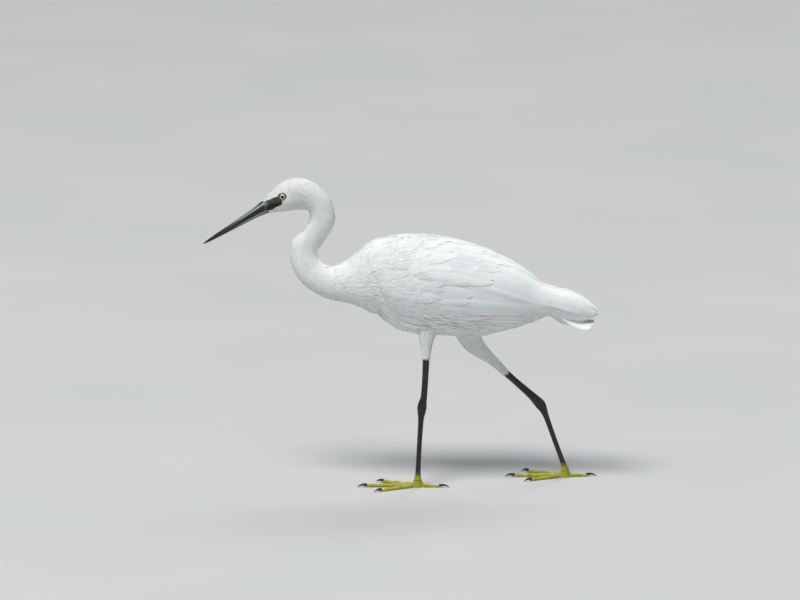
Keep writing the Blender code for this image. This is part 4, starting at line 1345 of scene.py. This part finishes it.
def make_leg(word, leg_scales, toe_scales, horn):
    """The bare leg from the feathered thigh to the toes, its ankle and its foot.

    Its front is a row of overlapping plates and its back has finer ones."""
    limb = leg_track(SHANKS[word] + TARSI[word][1:])
    x, y = TARSI[word][-1][:2]
    ways = [toe_way(word, sizes[0]) for sizes in TOES.values()]

    def shin(along, around):
        s = between((0.2, limb["s"][-1]), along)
        angle = 360 * around
        front = np.clip(-np.cos(np.radians(angle)) * 2 - 0.2, 0, 1)
        saw = 1 - np.mod(s / SHIN_PLATE, 1)
        fine = np.abs(np.sin(math.pi * s / SHIN_SCALE + np.mod(np.round(angle / 30), 12) * 1.6))
        grown = SHIN_PLATE_HEIGHT * (front * (saw - 0.5) + (1 - front) * 0.35 * (fine - 0.5))
        return on_track(limb, s, angle, grown)

    def foot(along, around):
        turn = 2 * math.pi * around
        height = FOOT_TOP * along
        lobes = sum(np.exp(-(np.angle(np.exp(1j * (turn - way))) / FOOT_LOBE) ** 2) for way in ways)
        radius = FOOT_POST[0] - FOOT_POST[1] * along
        radius = radius + LOBE_RADIUS * lobes * np.clip(1 - along * 1.15, 0, 1) ** 1.6
        radius = radius + 0.12 * np.cos(2 * math.pi * height / FOOT_RING) * np.clip(4 * along, 0, 1)
        return np.stack([x + radius * np.cos(turn), y + radius * np.sin(turn), height], -1) * MM

    finish("leg_scales_" + word, [wrap(420, 36, shin), wrap(28, 96, foot)], leg_scales, "leg",
           "shank_" + word, "tarsus_" + word)
    for name in TOES:
        make_toe(word, name, toe_scales, horn)


def make_toe(word, name, toe_scales, horn):
    """A toe with plates above and soft pads below, flat on the floor, and its curved claw."""
    angle, length, width, claw_length = TOES[name]
    way = toe_way(word, angle)
    forward = np.array((math.cos(way), math.sin(way), 0))
    beside = np.array((-forward[1], forward[0], 0))
    hub = np.array((*TARSI[word][-1][:2], 0.0))
    start = FOOT_RADIUS + GAP

    def from_hub(reach, across, z):
        flat = hub + forward * reach[:, None] + beside * across[:, None]
        return (flat + np.array((0, 0, 1.0)) * z[:, None]) * MM

    def toe(along, around):
        reach = between((start, length), along)
        turn = 2 * math.pi * around
        swell = 0.5 + 0.5 * np.cos(2 * math.pi * reach / TOE_PAD_SPACING)
        thick = (1 - 0.3 * reach / length) * (0.82 + 0.18 * swell)
        end = np.clip((reach - length + TOE_END) / TOE_END, 0, 1)
        thick = thick * np.sqrt(1 - 0.8 * end ** 2)
        half = width / 2 * thick
        if name != "hind":
            half = np.minimum(half, TOE_WEDGE * reach - GAP / 2)
        saw = 0.16 * np.clip(np.cos(turn) * 2, 0, 1) * (1 - np.mod(reach / TOE_PLATE, 1) - 0.5)
        pads = 0.10 * np.clip(-np.cos(turn) * 2, 0, 1) * np.cos(reach * 4.2) * np.cos(turn * 7)
        z = np.maximum(0, width * 0.86 * thick * (0.42 + 0.58 * np.cos(turn)) + (saw + pads))
        return from_hub(reach, half * np.sin(turn) * (1 + 0.03 * np.cos(reach * 4.8)), z)

    def claw(along, around):
        half = width * 0.3 * (1 - along) ** 0.8 + 0.2
        rise = 2.4 + 1.1 * np.sin(math.pi * along) - 1.9 * along ** 2
        turn = 2 * math.pi * around
        reach = length - CLAW_TUCK + (claw_length + CLAW_TUCK + GAP) * along
        z = rise + half * np.cos(turn) - 0.12 * half * (np.cos(turn) < -0.6)
        return from_hub(reach, half * 0.8 * np.sin(turn), z)

    label = name + "_" + word
    finish("toe_scales_" + label, [wrap(90, 26, toe)], toe_scales, "toe", "toe_" + label)
    finish("claw_horn_" + label, [wrap(24, 18, claw)], horn, "claw", "claw_" + label)


# Floor, light and camera. The floor and the lamps are in metres.

FLOOR_WIDTH = 30
FLOOR_FROM = -7
FLOOR_LENGTH = 26
FLOOR_BACK = 8.0
SWEEP_RADIUS = 4.5
SWEEP_ARC = 7.07
# Each lamp: its place, its size, its power and its colour. All aim at the bird.
LAMPS = {
    "key": ((-2.4, -4.0, 9.8), 4.0, 1060, "#fffefb"),
    "fill": ((7.0, -7.0, 3.5), 6.0, 40, "#f2f6ff"),
    "rim": ((2.6, 6.0, 8.0), 4.5, 300, "#fffdf8"),
}
LAMP_AIM = (0, 0, 0.2)
ROOM_COLOUR = "#e0e8f2"
ROOM_LIGHT = 0.27
VIEW_ELEVATION = 12.0
VIEW_DISTANCE = 8.0
VIEW_TARGET = (-1.2, 0.0, 222.6)
MM_PER_PIXEL = 1.19
IMAGE_WIDTH = 800
SENSOR_WIDTH = 36


def make_stage():
    """A pale studio floor that sweeps up into a plain backdrop."""
    shape = bmesh.new()
    bmesh.ops.create_grid(shape, x_segments=1, y_segments=60, size=0.5)
    for vert in shape.verts:
        reach = FLOOR_FROM + FLOOR_LENGTH * (vert.co.y + 0.5)
        past = max(0.0, reach - FLOOR_BACK)
        turn = min(past / SWEEP_RADIUS, math.pi / 2)
        vert.co = (vert.co.x * FLOOR_WIDTH, min(reach, FLOOR_BACK) + SWEEP_RADIUS * math.sin(turn),
                   SWEEP_RADIUS * (1 - math.cos(turn)) + max(0.0, past - SWEEP_ARC))
    bmesh.ops.recalc_face_normals(shape, faces=shape.faces[:])
    mesh = to_mesh("studio_floor", [shape])
    mesh.materials.append(paper_material())
    add_object("studio_floor", mesh)


def make_lights():
    """A big soft lamp overhead and to the front, a weak one beside it, one behind, and a pale room."""
    for name, (place, size, power, colour) in LAMPS.items():
        data = bpy.data.lights.new(name, "AREA")
        data.shape = "DISK"
        data.size = size
        data.energy = power
        data.color = linear(colour)[:3]
        lamp = add_object(name, data)
        lamp.location = place
        lamp.rotation_euler = (Vector(LAMP_AIM) - Vector(place)).to_track_quat("-Z", "Y").to_euler()
    world = bpy.data.worlds.new("studio")
    world.use_nodes = True
    room = world.node_tree.nodes["Background"].inputs
    room["Color"].default_value = linear(ROOM_COLOUR)
    room["Strength"].default_value = ROOM_LIGHT
    bpy.context.scene.world = world
    bpy.context.scene.view_settings.view_transform = "Standard"


def make_camera():
    """The photo's view: from the bird's left side, a little above it."""
    data = bpy.data.cameras.new("camera")
    data.sensor_width = SENSOR_WIDTH
    data.lens = SENSOR_WIDTH * VIEW_DISTANCE / (MM_PER_PIXEL * IMAGE_WIDTH * MM)
    data.clip_end = 100
    tilt = math.radians(VIEW_ELEVATION)
    back = Vector((0, -math.cos(tilt), math.sin(tilt)))
    camera = add_object("camera", data)
    camera.location = Vector(VIEW_TARGET) * MM + back * VIEW_DISTANCE
    camera.rotation_euler = (-back).to_track_quat("-Z", "Y").to_euler()
    bpy.context.scene.camera = camera


def main():
    make_camera()
    make_stage()
    make_lights()
    small_white = feather_material("contour_feathers", "#e4e5e6", "#fbfbf8", 0.7, 0.05)
    long_white = feather_material("flight_feathers", "#e6e7e8", "#fafaf7", 0.8, 0.08)
    hide = lore_material()
    make_skin()
    tuft = tuft_template(3)
    plume = tuft_template(5)
    templates = {"tuft": tuft, "small": vane_template(2, 7), "middle": vane_template(4, 10),
                 "long": vane_template(8, 16)}
    for number, name in enumerate(COAT_PIECES, 1):
        make_coat(name, number, tuft, small_white)
    for number, (word, side) in enumerate(SIDES.items()):
        make_thigh_coat(word, tuft, small_white, 10 + number)
        make_wing(word, side, templates, long_white)
        make_flanks(word, side, plume, small_white)
    make_back(templates["middle"], long_white)
    make_tail(templates["long"], plume, long_white)
    make_undertail(plume, small_white)
    make_bill()
    make_face()
    make_eyes(hide)
    leg_scales = scale_material("leg_scales", "#0f0f10", "#2b2e33", 0.36, "#a3a02c")
    toe_scales = scale_material("toe_scales", "#8f8d26", "#bdb93c", 0.5)
    horn = claw_material()
    for word in SIDES:
        make_leg(word, leg_scales, toe_scales, horn)


main()
